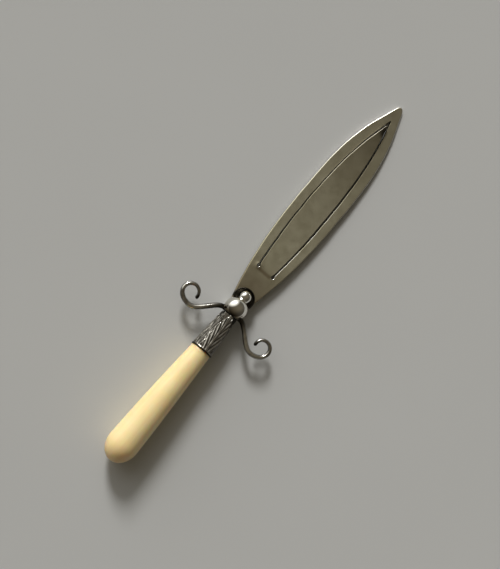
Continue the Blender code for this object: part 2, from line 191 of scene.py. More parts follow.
class TongueSizes(PropertyGroup):
    """Sizes of the tongue"""

    tip_margin: size("Tip margin", "From the slot's apex to the tip of the blade", 4.5)
    root_margin: size("Root margin", "From the root of the blade to the root of the tongue", 9.4)
    width: size("Width", "Widest distance between the middles of the slots", 6.14)
    root_width: size("Root width", "Distance between the slot's holes", 4.14)
    belly_share: number("Belly share", "Where the tongue is widest, as a share from the apex", 0.606)
    tip_fullness: number("Tip fullness", "Fullness of the curve towards the apex", 2.5)
    root_fullness: number("Root fullness", "Fullness of the curve towards the root", 2.0)
    slot_width: size("Slot width", "Width of the saw cut", 0.30)
    cut_softness: number("Cut softness", "Softening of the saw cut against the blade's outer edge", 0.48)
    saw_wander: size("Saw wander", "How far the hand saw strays", 0.07)
    saw_length: size("Saw length", "Length of the saw's slow wander", 3.1)
    hole_radius: size("Hole radius", "Radius of the holes at the ends of the slot", 0.42)
    blunting: size("Blunting", "Length filed off the tongue's point", 0.5)
    nose: size("Nose", "Length of the rounded point", 0.7)
    root_lift: angle("Root lift", "Angle at which the tongue leaves the blade", 0.75)
    lift_ease: size("Lift ease", "Length over which that angle is reached", 1.5)
    curl_rise: size("Curl rise", "Extra height of the tip, which is bent up to take a page", 0.34)
    curl_length: size("Curl length", "Length of the bent-up end", 16.0)
    lean: size("Lean", "How far the tongue lies towards the left of its window", 0.12)
    end_twist: angle("End twist", "Twist of the bent-up end, left side up", 9)
    tip_filing: number("Tip filing", "Share filed off the right side of the tongue's end", 0.05)
    flex_length: size("Flex length", "Length from the root that bends as the tongue is lifted", 9.0)


class GuardSizes(PropertyGroup):
    """Sizes of the ball, bead and cup"""

    ball_radius: size("Ball radius", "Radius of the guard ball", 2.6)
    bead_radius: size("Bead radius", "Radius of the bead in front of the ball", 1.4)
    bead_sink: size("Bead sink", "How far the bead is set into the ball", 0.8)
    neck_fillet: size("Neck fillet", "Reach of the solder fillet between the bead and the ball", 0.4)
    cup_setback: size("Cup setback", "Middle of the cup behind the bead's", 0.5)
    cup_bead_room: size("Cup room", "Room between the bead and the wall of the cup", 0.34)
    cup_wall: size("Cup wall", "Thickness of the cup's wall", 0.28)
    cup_height: size("Cup height", "Height of the cup", 0.8)
    cup_floor: size("Cup floor", "Thickness of the cup's floor", 0.25)
    cup_back: size("Cup back", "Middle of the cup from its open back", 0.8)
    joint_gap: size("Joint gap", "Room for solder between neighbours", 0.06)


class ScrollSizes(PropertyGroup):
    """Sizes of the scrolled arms"""

    root_diameter: size("Root diameter", "Thickness of the wire at the ball", 1.12)
    tip_diameter: size("Tip diameter", "Thickness of the wire at the end of the curl", 0.68)
    seat: size("Seat", "Length held in the ball", 0.9)
    ferrule_room: size("Ferrule room", "Room between the wire and the ferrule", 0.19)
    reach: size("Reach", "Middle of the curl from the middle of the ball", 9.9)
    drop: size("Drop", "Middle of the curl behind the wire's root", 1.8)
    root_pull: size("Root pull", "Straightness of the stem at the ball", 2.0)
    curl_pull: size("Curl pull", "Straightness of the stem at the curl", 2.4)
    curl_radius: size("Curl radius", "Working radius of the curl", 1.74)
    curl_ease: size("Curl ease", "Extra radius where the curl begins", 0.98)
    curl_ease_angle: angle("Curl ease angle", "Turn over which that extra fades", 36)
    curl_start: angle("Curl start", "Where the curl begins", -116)
    curl_end: angle("Curl end", "Where the curl ends", 186)
    skew: angle("Skew", "How far the pair was bent askew", 2.2)
    end_swell: number("End swell", "Size of the rounded end against the wire", 1.16)
    hammering: number("Hammering", "Unevenness of the wire's thickness", 0.05)


class FerruleSizes(PropertyGroup):
    """Sizes of the ferrule, its ring and its cement"""

    length: size("Length", "Length of the tube", 9.16)
    front_radius: size("Front radius", "Outer radius at the ball", 1.95)
    mouth_radius: size("Mouth radius", "Outer radius at the handle", 2.58)
    wall: size("Wall", "Thickness of the tube", 0.3)
    relief: size("Relief", "Depth of the embossed leaves", 0.28)
    relief_level: number("Relief level", "Height of the leaves that lies at the tube's radius", 0.72)
    ring_length: size("Ring length", "Length of the wire ring at the mouth", 0.3)
    ring_proud: size("Ring proud", "How far the ring stands out", 0.08)
    cement_length: size("Cement length", "Length of the cement behind the ball", 2.9)


class GripSizes(PropertyGroup):
    """Sizes of the handle"""

    front_radius: size("Front radius", "Radius at the ferrule", 2.4)
    belly_radius: size("Belly radius", "Radius at the widest part", 3.53)
    taper_length: size("Taper length", "From the shoulder to the widest part", 25.3)
    butt_length: size("Butt length", "Length of the rounded butt", 4.4)
    shoulder_round: size("Shoulder round", "Rounding of the edge at the ferrule", 0.12)
    unevenness: number("Unevenness", "Unevenness left by turning and wear, as a share", 0.004)
    tang_radius: size("Tang radius", "Radius of the tang in the bore", 0.7)
    tang_reach: size("Tang reach", "Length of the tang in the handle", 12.0)
    tang_room: size("Tang room", "Room at the end of the bore", 0.3)


class FinishSettings(PropertyGroup):
    """Colours, and how far darkening, tarnish and painted shade reach"""

    clean_silver: colour("Clean silver", "Rubbed silver sheet", (0.46, 0.43, 0.312))
    toned_silver: colour("Toned silver", "Silver sheet where it has tarnished", (0.392, 0.362, 0.25))
    # Darker colour of the sheet, laid on towards the blade's tip and the tongue's apex.
    deep_silver: colour("Deep silver", "Silver sheet where it is most tarnished", (0.20, 0.172, 0.112))
    bright_silver: colour("Bright silver", "Polished silver", (0.83, 0.81, 0.76))
    worn_silver: colour("Worn silver", "Polished silver that has begun to tone", (0.76, 0.735, 0.62))
    oxide: colour("Oxide", "Black tarnish in hollows and around joints", (0.035, 0.031, 0.024))
    wire_silver: colour("Wire silver", "Rubbed wire of the arms", (0.70, 0.675, 0.63))
    aged_silver: colour("Aged silver", "Rubbed leaves of the ferrule", (0.50, 0.475, 0.425))
    grey_tarnish: colour("Grey tarnish", "Tarnish between the ribs of the leaves", (0.15, 0.14, 0.12))
    brown_tarnish: colour("Brown tarnish", "Thin tarnish next to the black", (0.18, 0.138, 0.08))
    cream: colour("Cream", "Body colour of the handle", (0.90, 0.705, 0.36))
    pale_cream: colour("Pale cream", "Lighter streaks of the handle", (0.93, 0.77, 0.42))
    amber: colour("Amber", "Toned ends of the handle", (0.74, 0.51, 0.24))
    cement: colour("Cement", "Setting cement", (0.12, 0.07, 0.04))
    blade_toning: size("Blade toning", "End of the blade's darkening past its tip", 20.0)
    tongue_toning: size("Tongue toning", "Length of the tongue's darkening up to its apex", 40.0)
    guard_tarnish: size("Guard tarnish", "How far brown tarnish spreads from the cup", 12.0)
    # Painted shade: a dark spot on the right of the tongue's bent-up end, where shade falls.
    painted_tip_shade_place: spot("Shade place", "Shade on the tongue, from the slot's apex", (0.7, -2.6, 0.8))
    painted_tip_shade_reach: size("Shade reach", "How far that stain spreads", 2.2)
    # Black at the arms' roots: partly oxide at the joint, partly painted shade from the ball and ferrule.
    arm_oxide_and_shade: size("Arm oxide", "How far the black runs out of the ball along the arms", 4.0)
    # The amber at the butt is partly toned ivory, partly painted shade.
    butt_toning_and_shade: size("Butt toning", "Length of the amber at the butt of the handle", 6.0)
    mouth_toning: size("Mouth toning", "Length of the amber at the ferrule", 1.4)


class StageSettings(PropertyGroup):
    """Floor, light and camera"""

    floor_colour: colour("Floor", "Plain pale floor", (0.53, 0.53, 0.515))
    overhead: colour("Overhead", "Dim warm light from above", (0.135, 0.117, 0.085))
    side_light: colour("Side light", "Light from low on all sides", (0.11, 0.102, 0.085))
    horizon: colour("Horizon", "Pale backdrop around the floor", (0.42, 0.42, 0.41))
    far_side: colour("Far side", "Dim side of the room, across from the glow", (0.07, 0.063, 0.05))
    key_strength: number("Key strength", "Light on a surface that faces the soft key light", 2.65)
    key_spread: angle("Key spread", "Width of the soft key light as the bookmark sees it", 14)
    key_azimuth: angle("Key azimuth", "Direction of the key light, from +Y towards -X", 47)
    key_elevation: angle("Key elevation", "Height of the key light above the floor", 27)
    glow: colour("Glow", "Colour of the soft glow beside the key light", (1.0, 1.0, 0.97))
    glow_strength: number("Glow strength", "Brightness in the middle of that glow", 1.6)
    glow_spread: angle("Glow spread", "From the middle of that glow to its end", 54)
    glow_azimuth: angle("Glow azimuth", "Direction of the glow, from +Y towards -X", 62)
    glow_elevation: angle("Glow elevation", "Height of the glow above the floor", 14)
    floor_reach: size("Floor reach", "Half the width of the floor", 6000.0)
    camera_place: spot("Camera place", "Where the camera stands", (-41.717, -34.235, 233.209))
    camera_aim: spot("Camera aim", "Point in the middle of the picture", (-0.505, -2.362, 0.0))
    camera_roll: angle("Camera roll", "Turn of the picture", 93.023)
    camera_lens: number("Camera lens", "Focal length in millimetres", 69.596)


class BookmarkSettings(PropertyGroup):
    """All settings of the bookmark"""

    blade: group("Blade", BladeSizes)
    tongue: group("Tongue", TongueSizes)
    guard: group("Guard", GuardSizes)
    scrolls: group("Scrolls", ScrollSizes)
    ferrule: group("Ferrule", FerruleSizes)
    grip: group("Handle", GripSizes)
    finish: group("Finish", FinishSettings)
    stage: group("Stage", StageSettings)


def layout_of(kit):
    """Places in the straight frame that follow from the sizes, with the matrix of the rest pose."""
    blade, tongue, guard, ferrule, grip = kit.blade, kit.tongue, kit.guard, kit.ferrule, kit.grip
    gap = guard.joint_gap
    here = SimpleNamespace()
    here.blade_top = -blade.drop + blade.thickness / 2
    here.blade_bottom = -blade.drop - blade.thickness / 2
    here.blade_root = math.sqrt(guard.ball_radius**2 - blade.drop**2) - blade.seat
    here.blade_tip = here.blade_root + blade.length
    here.slot_apex = here.blade_tip - tongue.tip_margin
    here.hinge = here.blade_root + tongue.root_margin
    here.tongue_length = here.slot_apex - here.hinge
    here.fold = here.hinge - blade.crease_setback
    here.bead = guard.ball_radius + guard.bead_radius - guard.bead_sink
    here.cup = here.bead - guard.cup_setback
    here.cup_inner = guard.bead_radius + guard.cup_setback + guard.cup_bead_room
    here.cup_bottom = here.blade_top + gap
    here.bead_bottom = here.cup_bottom + guard.cup_floor + gap
    bore = ferrule.front_radius - ferrule.wall
    here.ferrule_front = -math.sqrt((guard.ball_radius + gap) ** 2 - bore**2)
    here.ferrule_mouth = here.ferrule_front - ferrule.length
    here.ring_front = here.ferrule_mouth - gap
    here.ring_back = here.ring_front - ferrule.ring_length
    here.shoulder = here.ring_back - gap
    here.belly = here.shoulder - grip.taper_length
    here.butt = here.belly - grip.butt_length
    here.spigot = -guard.ball_radius - gap - ferrule.cement_length - gap
    here.bore_end = here.shoulder - grip.tang_reach - grip.tang_room
    here.arm_root = here.ferrule_front + kit.scrolls.root_diameter / 2 + kit.scrolls.ferrule_room
    here.arm_exit = math.sqrt(guard.ball_radius**2 - here.arm_root**2)
    mounts = {mount["name"]: mount for mount in frame["record"]["mounts"]}
    pitch = Matrix.Rotation(math.asin(mounts["blade_back"]["axis"][1]), 4, "X")
    hinge = Vector((0.0, here.hinge, -blade.drop))
    here.rest = Matrix.Translation(Vector(frame["joints"][0]["pos_m"]) - pitch @ hinge) @ pitch
    here.skewed = here.rest @ Matrix.Rotation(kit.scrolls.skew, 4, "Z")
    return here


def plan(context):
    """The settings and the places that follow from them."""
    kit = context.scene.bookmark
    return kit, layout_of(kit)


def at_rest(here, along, up=0.0):
    """Where a place in the middle plane of the straight frame lies in the rest pose."""
    return here.rest @ Vector((0.0, along, up))


# Curves


def smooth_step(value, low, high):
    """Rises smoothly from 0 at the low value to 1 at the high one."""
    part = min(1.0, max(0.0, (value - low) / (high - low)))
    return part * part * (3.0 - 2.0 * part)


def bell(distance, width):
    """1 at no distance, falling off to both sides."""
    return math.exp(-((distance / width) ** 2))


def arc(middle, radius, start, end, steps, stretch=1.0):
    """Points on an arc about a middle, from one angle to another, stretched along its second axis."""
    turns = [start + (end - start) * step / steps for step in range(steps + 1)]
    wide, high = middle
    return [(wide + radius * math.cos(turn), high + radius * stretch * math.sin(turn)) for turn in turns]


def resampled(points, step):
    """An open line of points, spaced evenly."""
    lengths = [0.0]
    for before, after in zip(points, points[1:]):
        lengths.append(lengths[-1] + math.dist(before, after))
    count = max(2, round(lengths[-1] / step))
    made, index = [], 0
    for mark in range(count + 1):
        wanted = lengths[-1] * mark / count
        while index < len(points) - 2 and lengths[index + 1] < wanted:
            index += 1
        part = (wanted - lengths[index]) / max(lengths[index + 1] - lengths[index], WELD)
        made.append(Vector(points[index]).lerp(Vector(points[index + 1]), min(part, 1.0)))
    return made


def eased(points, rounds):
    """Rounds the corners of an open line, with its ends held."""
    for _ in range(rounds):
        middle = [
            (before + point * 2.0 + after) / 4.0
            for before, point, after in zip(points, points[1:], points[2:])
        ]
        points = [points[0], *middle, points[-1]]
    return points


def normals_along(points):
    """Unit normals on the left of an open line."""
    made = []
    for index in range(len(points)):
        ahead = points[min(index + 1, len(points) - 1)] - points[max(index - 1, 0)]
        made.append(Vector((-ahead.y, ahead.x)).normalized())
    return made


def mirrored_line(half, tip):
    """A line up one side, over the tip and down the other side."""
    return half + [tip] + [(-x, y) for x, y in reversed(half)]


# Meshes


def skin(shape, rings, closed=False):
    """Faces between neighbouring rings of vertices."""
    following = rings[1:] + rings[:1] if closed else rings[1:]
    for ring, other in zip(rings, following):
        for step in range(len(ring)):
            after = (step + 1) % len(ring)
            shape.faces.new((ring[step], ring[after], other[after], other[step]))


def turned(profile, sides, upright=False, closed=False, along_y=0.0):
    """A new shape: (radius, along) points turned about the Y axis or, if upright, a line along Z."""
    shape = bmesh.new()
    rings = []
    for radius, along in profile:
        ring = []
        for step in range(sides):
            turn = math.tau * step / sides
            across, up = radius * math.cos(turn), radius * math.sin(turn)
            place = (across, up + along_y, along) if upright else (across, along, up)
            ring.append(shape.verts.new(place))
        rings.append(ring)
    skin(shape, rings, closed)
    return shape


def slice_off(shape, point, outwards):
    """Welds a shape, cuts away what lies beyond a plane and closes the cut."""
    bmesh.ops.remove_doubles(shape, verts=shape.verts, dist=WELD)
    everything = [*shape.verts, *shape.edges, *shape.faces]
    done = bmesh.ops.bisect_plane(
        shape, geom=everything, dist=WELD, plane_co=point, plane_no=outwards, clear_outer=True
    )
    rim = [item for item in done["geom_cut"] if isinstance(item, bmesh.types.BMEdge)]
    bmesh.ops.edgeloop_fill(shape, edges=rim)


def add_piece(name, shape, matrix, material, node):
    """Welds and smooths a shape, lays it at its place in the rest pose and puts it in a solid's place."""
    bmesh.ops.remove_doubles(shape, verts=shape.verts, dist=WELD)
    bmesh.ops.dissolve_degenerate(shape, edges=shape.edges, dist=WELD)
    bmesh.ops.recalc_face_normals(shape, faces=shape.faces)
    mesh = bpy.data.meshes.new(name)
    shape.to_mesh(mesh)
    shape.free()
    mesh.transform(matrix)
    mesh.shade_smooth()
    mesh.set_sharp_from_angle(angle=SHARP_ANGLE)
    mesh.materials.append(material)
    piece = bpy.data.objects.new(name, mesh)
    bpy.context.scene.collection.objects.link(piece)
    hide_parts(node)
    return piece


class EdgePoint(NamedTuple):
    """A point of a sheet's outline.

    Softness scales the rounding of the edge. The grime value is 1 in a black saw cut, partly oxide and partly
    painted shade, and below 0 on a bright edge, partly rubbed wear and partly painted highlight. The rim sheen
    is 1 where only the rim of a cut is bright, a painted highlight.
    """

    place: Vector
    softness: float
    grime_shade_and_sheen: float = 0.0
    rub: float = 0.0

    def shade(self, share):
        """The grime value at a share of the way down the rounding. The rim's painted highlight is strongest
        halfway.
        """
        return self.grime_shade_and_sheen * share - self.rub * 4.0 * share * (1.0 - share) if self.softness else 0.0


def edge_rings(round_over):
    """(inset, fall) of the rings from the face of a sheet over its softened edge."""
    rounded = arc((round_over, round_over), round_over, -QUARTER, -math.pi, EDGE_STEPS)
    return [(round_over * (1.0 + EDGE_SUPPORT), 0.0), *rounded]


def sheet(kit, here, outlines, lift):
    """A new shape: silver sheet with softened edges, inside outlines that have it on their left."""
    face = (here.blade_top, kit.blade.edge_round, -1.0)
    back = (here.blade_bottom, kit.blade.back_round, +1.0)
    shape = bmesh.new()
    # Each vertex stores the black of the saw cuts (oxide with painted shade) and the bright edges (wear with
    # painted highlight).
    grime_shade_and_sheen = shape.verts.layers.float.new("grime_shade_and_sheen")
    upper, lower, outline_points = [], [], []
    for outline in outlines:
        flat = [edge.place for edge in outline]
        inwards = []
        for before, after in zip(flat[-1:] + flat[:-1], flat[1:] + flat[:1]):
            inwards.append(Vector((before.y - after.y, after.x - before.x)).normalized())
        made = []
        for level, round_over, sign in (face, back):
            rings = edge_rings(round_over)
            for inset, fall in rings if sign < 0.0 else rings[::-1]:
                ring = []
                for edge, inward in zip(outline, inwards):
                    at = edge.place + inward * inset * edge.softness
                    height = level + sign * fall * edge.softness + lift(at.x, at.y)
                    vert = shape.verts.new((at.x, at.y, height))
                    vert[grime_shade_and_sheen] = edge.shade(fall / round_over)
                    ring.append(vert)
                made.append(ring)
        skin(shape, made)
        upper.append([vert.co.copy() for vert in made[0]])
        lower.append([vert.co.copy() for vert in made[-1]])
        outline_points += flat
    inner = inner_points(outline_points)
    filled(shape, upper, inner, here.blade_top, lift)
    filled(shape, lower, inner, here.blade_bottom, lift)
    return shape


def inner_points(outline_points):
    """Staggered rows of points that keep clear of the outlines."""
    tree = kdtree.KDTree(len(outline_points))
    for index, point in enumerate(outline_points):
        tree.insert((point.x, point.y, 0.0), index)
    tree.balance()
    low_x, high_x = (find(point.x for point in outline_points) for find in (min, max))
    low_y, high_y = (find(point.y for point in outline_points) for find in (min, max))
    row_step = SHEET_SPACING * math.sqrt(3) / 2
    made = []
    for row in range(int((high_y - low_y) / row_step)):
        start = low_x + SHEET_SPACING * (row % 2) / 2
        for column in range(int((high_x - low_x) / SHEET_SPACING)):
            point = Vector((start + column * SHEET_SPACING, low_y + row * row_step))
            if tree.find((point.x, point.y, 0.0))[2] > SHEET_CLEARANCE:
                made.append(point)
    return made


def enclosed(loops, spots):
    """Whether each spot lies inside an odd number of the closed loops."""
    odd = np.zeros(len(spots), bool)
    for loop in loops:
        for start, end in zip(loop, loop[1:] + loop[:1]):
            if start.y != end.y:
                spans = (spots[:, 1] < start.y) != (spots[:, 1] < end.y)
                share = (spots[:, 1] - start.y) / (end.y - start.y)
                odd ^= spans & (spots[:, 0] < start.x + share * (end.x - start.x))
    return odd


def filled(shape, loops, inner, level, lift):
    """Fills one face of a sheet between the innermost loops of its outlines."""
    points, edges = [], []
    for loop in loops:
        first = len(points)
        points += [Vector((corner.x, corner.y)) / MM for corner in loop]
        edges += [(first + step, first + (step + 1) % len(loop)) for step in range(len(loop))]
    points += [corner / MM for corner in inner]
    found, _, faces, _, _, _ = delaunay_2d_cdt(points, edges, [], WHOLE_HULL, FILL_WELD)
    places = [corner * MM for corner in found]
    middles = [sum((places[corner] for corner in corners), Vector((0.0, 0.0))) / 3 for corners in faces]
    verts = [shape.verts.new((at.x, at.y, level + lift(at.x, at.y))) for at in places]
    for corners, kept in zip(faces, enclosed(loops, np.array(middles))):
        if kept:
            shape.faces.new([verts[corner] for corner in corners])
    bmesh.ops.delete(shape, geom=[vert for vert in verts if not vert.link_faces], context="VERTS")


# Outlines of the blade and the tongue


def blade_half_width(blade, from_tip):
    """Half the blade's width at a distance from its tip, with the point eased to a small radius."""
    belly = blade.belly_share * blade.length
    full = blade.width / 2
    if from_tip > belly:
        part = (from_tip - belly) / (blade.length - belly)
        return full - (full - blade.root_width / 2) * part**blade.root_fullness
    flank = full * (1.0 - (1.0 - from_tip / belly) ** blade.tip_fullness)
    nose = 2.0 * blade.tip_radius * from_tip * math.exp(-from_tip / blade.tip_ease)
    return math.sqrt(flank**2 + nose)


def slot_half_width(tongue, here, from_apex):
    """Half the distance between the middles of the two slots, running straight on past the apex."""
    belly = tongue.belly_share * here.tongue_length
    full = tongue.width / 2
    if from_apex < 0.0:
        return full * tongue.tip_fullness * from_apex / belly
    if from_apex > belly:
        part = (from_apex - belly) / (here.tongue_length - belly)
        return full - (full - tongue.root_width / 2) * part**tongue.root_fullness
    return full * (1.0 - (1.0 - from_apex / belly) ** tongue.tip_fullness)


def slot_edge(tongue, here, from_apex, side):
    """Half width of the slot's edge, on the blade's side (+1) or the tongue's (-1)."""
    ahead = slot_half_width(tongue, here, from_apex + SLOPE_STEP)
    behind = slot_half_width(tongue, here, from_apex - SLOPE_STEP)
    spread = math.hypot(1.0, (ahead - behind) / (2 * SLOPE_STEP))
    return slot_half_width(tongue, here, from_apex) + side * tongue.slot_width / 2 * spread


def slot_edge_apex(tongue, here, side):
    """Distance from the slot's apex at which its two edges on one side meet."""
    far = SEARCH_REACH * tongue.slot_width
    near = -far
    for _ in range(SEARCH_ROUNDS):
        middle = (near + far) / 2
        if slot_edge(tongue, here, middle, side) < 0.0:
            near = middle
        else:
            far = middle
    return far


def blade_outline(kit, here):
    """Outer edge of the blade, from the right of its root over the tip to the left, filed by eye."""
    blade = kit.blade
    least_rubbed = 0.1
    right = []
    for step in range(BLADE_STEPS + 1):
        from_tip = blade.length * (1.0 - step / BLADE_STEPS) ** 2
        right.append((blade_half_width(blade, from_tip), here.blade_tip - from_tip))
    points = resampled(mirrored_line(right[:-1], right[-1]), 2 * OUTLINE_STEP)
    root = resampled([points[-1], points[0]], 3 * OUTLINE_STEP)[1:-1]
    filed = []
    for point, outwards in zip(points, normals_along(points)):
        held = smooth_step(here.blade_tip - point.y, 0.0, blade.wave_length)
        place = point.to_3d() / blade.file_length
        filed.append(point - outwards * blade.file_wander * held * noise.noise(place))
    # The outer edge is painted bright, more so towards the tip: partly rubbed wear, partly painted highlight.
    made = []
    for point in filed + root:
        share = smooth_step(point.y, here.hinge, here.slot_apex)
        made.append(EdgePoint(point, 1.0, -least_rubbed - (1.0 - least_rubbed) * share))
    return made


def sawn_line(line, tongue, side):
    """The saw's real path along a line: corners eased, with a wander that both sides of the cut share."""
    fine_length, fine_share = 3.4, 0.5
    points = eased(resampled(line, OUTLINE_STEP), CORNER_ROUNDS)
    ends = (points[0].copy(), points[-1].copy())
    made = []
    # Every sawn edge is black: partly oxide in the cut, partly painted shade.
    for point, left in zip(points, normals_along(points)):
        soft = min(smooth_step((point - end).length, 0.0, tongue.hole_radius) for end in ends)
        place = Vector((point.x, point.y, tongue.saw_length)) / tongue.saw_length
        wander = noise.noise(place) + fine_share * noise.noise(place * fine_length)
        stray = side * tongue.saw_wander * wander * soft
        made.append(EdgePoint(point + left * stray, soft * tongue.cut_softness, grime_shade_and_sheen=1.0))
    return made


def hole_arc(tongue, here, start, end):
    """Points round the left hole, from one angle to another."""
    return arc((-tongue.root_width / 2, here.hinge), tongue.hole_radius, start, end, HOLE_STEPS)


def hole_corner(tongue):
    """Angle on a hole at which an edge of the slot runs into it."""
    return math.acos(tongue.slot_width / 2 / tongue.hole_radius)


def seam_line(tongue, here):
    """The line across the root of the tongue, from the left hole to the right one, without its ends."""
    reach = tongue.root_width / 2 - tongue.hole_radius
    shares = [2.0 * step / SEAM_STEPS - 1.0 for step in range(1, SEAM_STEPS)]
    return [EdgePoint(Vector((reach * part, here.hinge)), 0.0) for part in shares]


def slot_side(tongue, here, side, end, narrowing=None):
    """Left edge of the slot from its hole to an end near the apex."""
    start = here.tongue_length - tongue.hole_radius * math.sin(hole_corner(tongue))
    made = []
    for step in range(1, SLOT_STEPS):
        from_apex = end + (start - end) * (1.0 - step / SLOT_STEPS) ** 2
        x = slot_edge(tongue, here, from_apex, side)
        if narrowing:
            x *= narrowing(from_apex - end)
        made.append((-x, here.slot_apex - from_apex))
    return made


def window_outline(tongue, here):
    """Edge of the window in the blade: round the left hole, up, over the apex and down to the right hole.

    The rims of the holes and the lower part of the right-hand edge are bright: a painted highlight.
    """
    dulling_span, hole_rub, edge_rub, edge_rub_spread = (0.4, 0.8), 0.85, 0.62, 0.5
    apex = slot_edge_apex(tongue, here, +1)
    half = hole_arc(tongue, here, 0.0, -math.pi - hole_corner(tongue)) + slot_side(tongue, here, +1, apex)
    hole = Vector((tongue.root_width / 2, here.hinge))
    made = []
    # Painted highlight on the rims of the holes and on the lower part of the right-hand edge.
    for edge in sawn_line(mirrored_line(half, (0.0, here.slot_apex - apex)), tongue, +1):
        x, y = edge.place
        beside = (Vector((abs(x), y)) - hole).length
        drilled = 1.0 - smooth_step(beside, tongue.hole_radius, 2 * tongue.hole_radius)
        share = (y - here.hinge) / here.tongue_length
        right = smooth_step(x, 0.0, tongue.hole_radius) * (1.0 - smooth_step(share, *dulling_span))
        edge_sheen_here = edge_rub + edge_rub_spread * noise.noise(edge.place.to_3d() / tongue.saw_length)
        made.append(edge._replace(rub=max(hole_rub * drilled, right * edge_sheen_here)))
    return made + seam_line(tongue, here)[::-1]


def tongue_outline(tongue, here):
    """Edge of the tongue: from the right hole over the rounded tip to the left hole, and along the root.

    The tongue leans to the left, less so at its end. Spans are shares of its length from the root.
    """
    filed_span, rubbed_span = (0.88, 0.96), (0.35, 0.6)
    leaning_span, straight_span = (0.05, 0.4), (0.8, 0.97)
    righted, left_rub, crisp_tip = 0.7, 1.5, 0.4
    end = slot_edge_apex(tongue, here, -1) + tongue.blunting

    def nose(from_end):
        return math.sqrt(1.0 - max(0.0, 1.0 - from_end / tongue.nose) ** 2)

    half = hole_arc(tongue, here, 0.0, hole_corner(tongue)) + slot_side(tongue, here, -1, end, nose)
    right = [(-x, y) for x, y in half]
    tip = Vector((0.0, here.slot_apex - end))
    made = []
    # The tongue's left edge is painted bright from about a third of its length onwards: a painted highlight.
    for point, soft, shade_sheen, _ in sawn_line(mirrored_line(right, tuple(tip)), tongue, -1):
        share = (point.y - here.hinge) / (tip.y - here.hinge)
        if point.x > 0.0:
            point.x *= 1.0 - tongue.tip_filing * smooth_step(share, *filed_span)
        else:
            shade_sheen -= left_rub * smooth_step(share, *rubbed_span)
        lean = smooth_step(share, *leaning_span) * (1.0 - righted * smooth_step(share, *straight_span))
        point.x -= tongue.lean * lean
        soft *= crisp_tip + (1.0 - crisp_tip) * smooth_step((point - tip).length, 0.0, 3 * tongue.nose)
        made.append(EdgePoint(point, soft, shade_sheen))
    return made + seam_line(tongue, here)


def sheet_waves(kit, here):
    """Height of the sheet's slight waves, the fold at the tongue's root and the burr, by place."""
    blade, tongue = kit.blade, kit.tongue
    wave_start, fold_squareness = 0.4, 4
    fold_reach = tongue.root_width / 2
    left_hole = (-fold_reach, here.hinge)

    def height(x, y):
        wave = noise.noise(Vector((x / blade.wave_length, y / blade.wave_length, wave_start)))
        across = max(0.0, 1.0 - (x / fold_reach) ** fold_squareness)
        dip = across * bell(y - here.fold, blade.crease_width / 2)
        burr = bell(math.dist((x, y), left_hole) - tongue.hole_radius, blade.burr_width)
        return blade.wave_height * wave - blade.crease_depth * dip + blade.burr_height * burr

    return height


def tongue_rise(kit, here):
    """Height of the sprung tongue, by place: a straight rise from its root and a bent-up, twisted end."""
    tongue = kit.tongue
    waves = sheet_waves(kit, here)
    slope, ease = math.tan(tongue.root_lift), tongue.lift_ease
    curl_from = here.tongue_length - tongue.curl_length

    def height(x, y):
        out = max(0.0, y - here.hinge)
        rise = slope * (out - ease * (1.0 - math.exp(-out / ease)))
        bent = (max(0.0, out - curl_from) / tongue.curl_length) ** 2
        return waves(x, y) + rise + bent * (tongue.curl_rise - math.tan(tongue.end_twist) * x)

    return height


# Finishes


class NodeWork:
    """A node tree, written one node at a time."""

    def __init__(self, tree):
        self.tree = tree

    def node(self, kind, inputs, **settings):
        made = self.tree.nodes.new("ShaderNode" + kind)
        for key, value in settings.items():
            setattr(made, key, value)
        for key, value in inputs.items():
            self.feed(made.inputs[key], value)
        return made

    def feed(self, socket, value):
        if isinstance(value, bpy.types.NodeSocket):
            self.tree.links.new(value, socket)
        else:
            socket.default_value = value

    def math(self, operation, first, second=0.0):
        return self.node("Math", {0: first, 1: second}, operation=operation).outputs[0]

    def ranged(self, value, low, high, least, most):
        """Moves a value smoothly from the range between low and high to that between least and most."""
        inputs = {"Value": value, "From Min": low, "From Max": high, "To Min": least, "To Max": most}
        return self.node("MapRange", inputs, interpolation_type="SMOOTHSTEP").outputs[0]

    def rise(self, value, none, full, most=1.0):
        """A share that is 0 up to one value and rises smoothly to the most at another."""
        return self.ranged(value, none, full, 0.0, most)

    def weighed(self, first, second, share):
        """A value between two others."""
        return self.node("Mix", {0: share, 2: first, 3: second}, data_type="FLOAT").outputs[0]

    def mixed(self, share, first, second):
        """A colour between two others."""
        made = self.node("Mix", {0: share}, data_type="RGBA")
        for socket, value in ((made.inputs[6], first), (made.inputs[7], second)):
            self.feed(socket, value if isinstance(value, bpy.types.NodeSocket) else (*value, 1.0))
        return made.outputs[2]


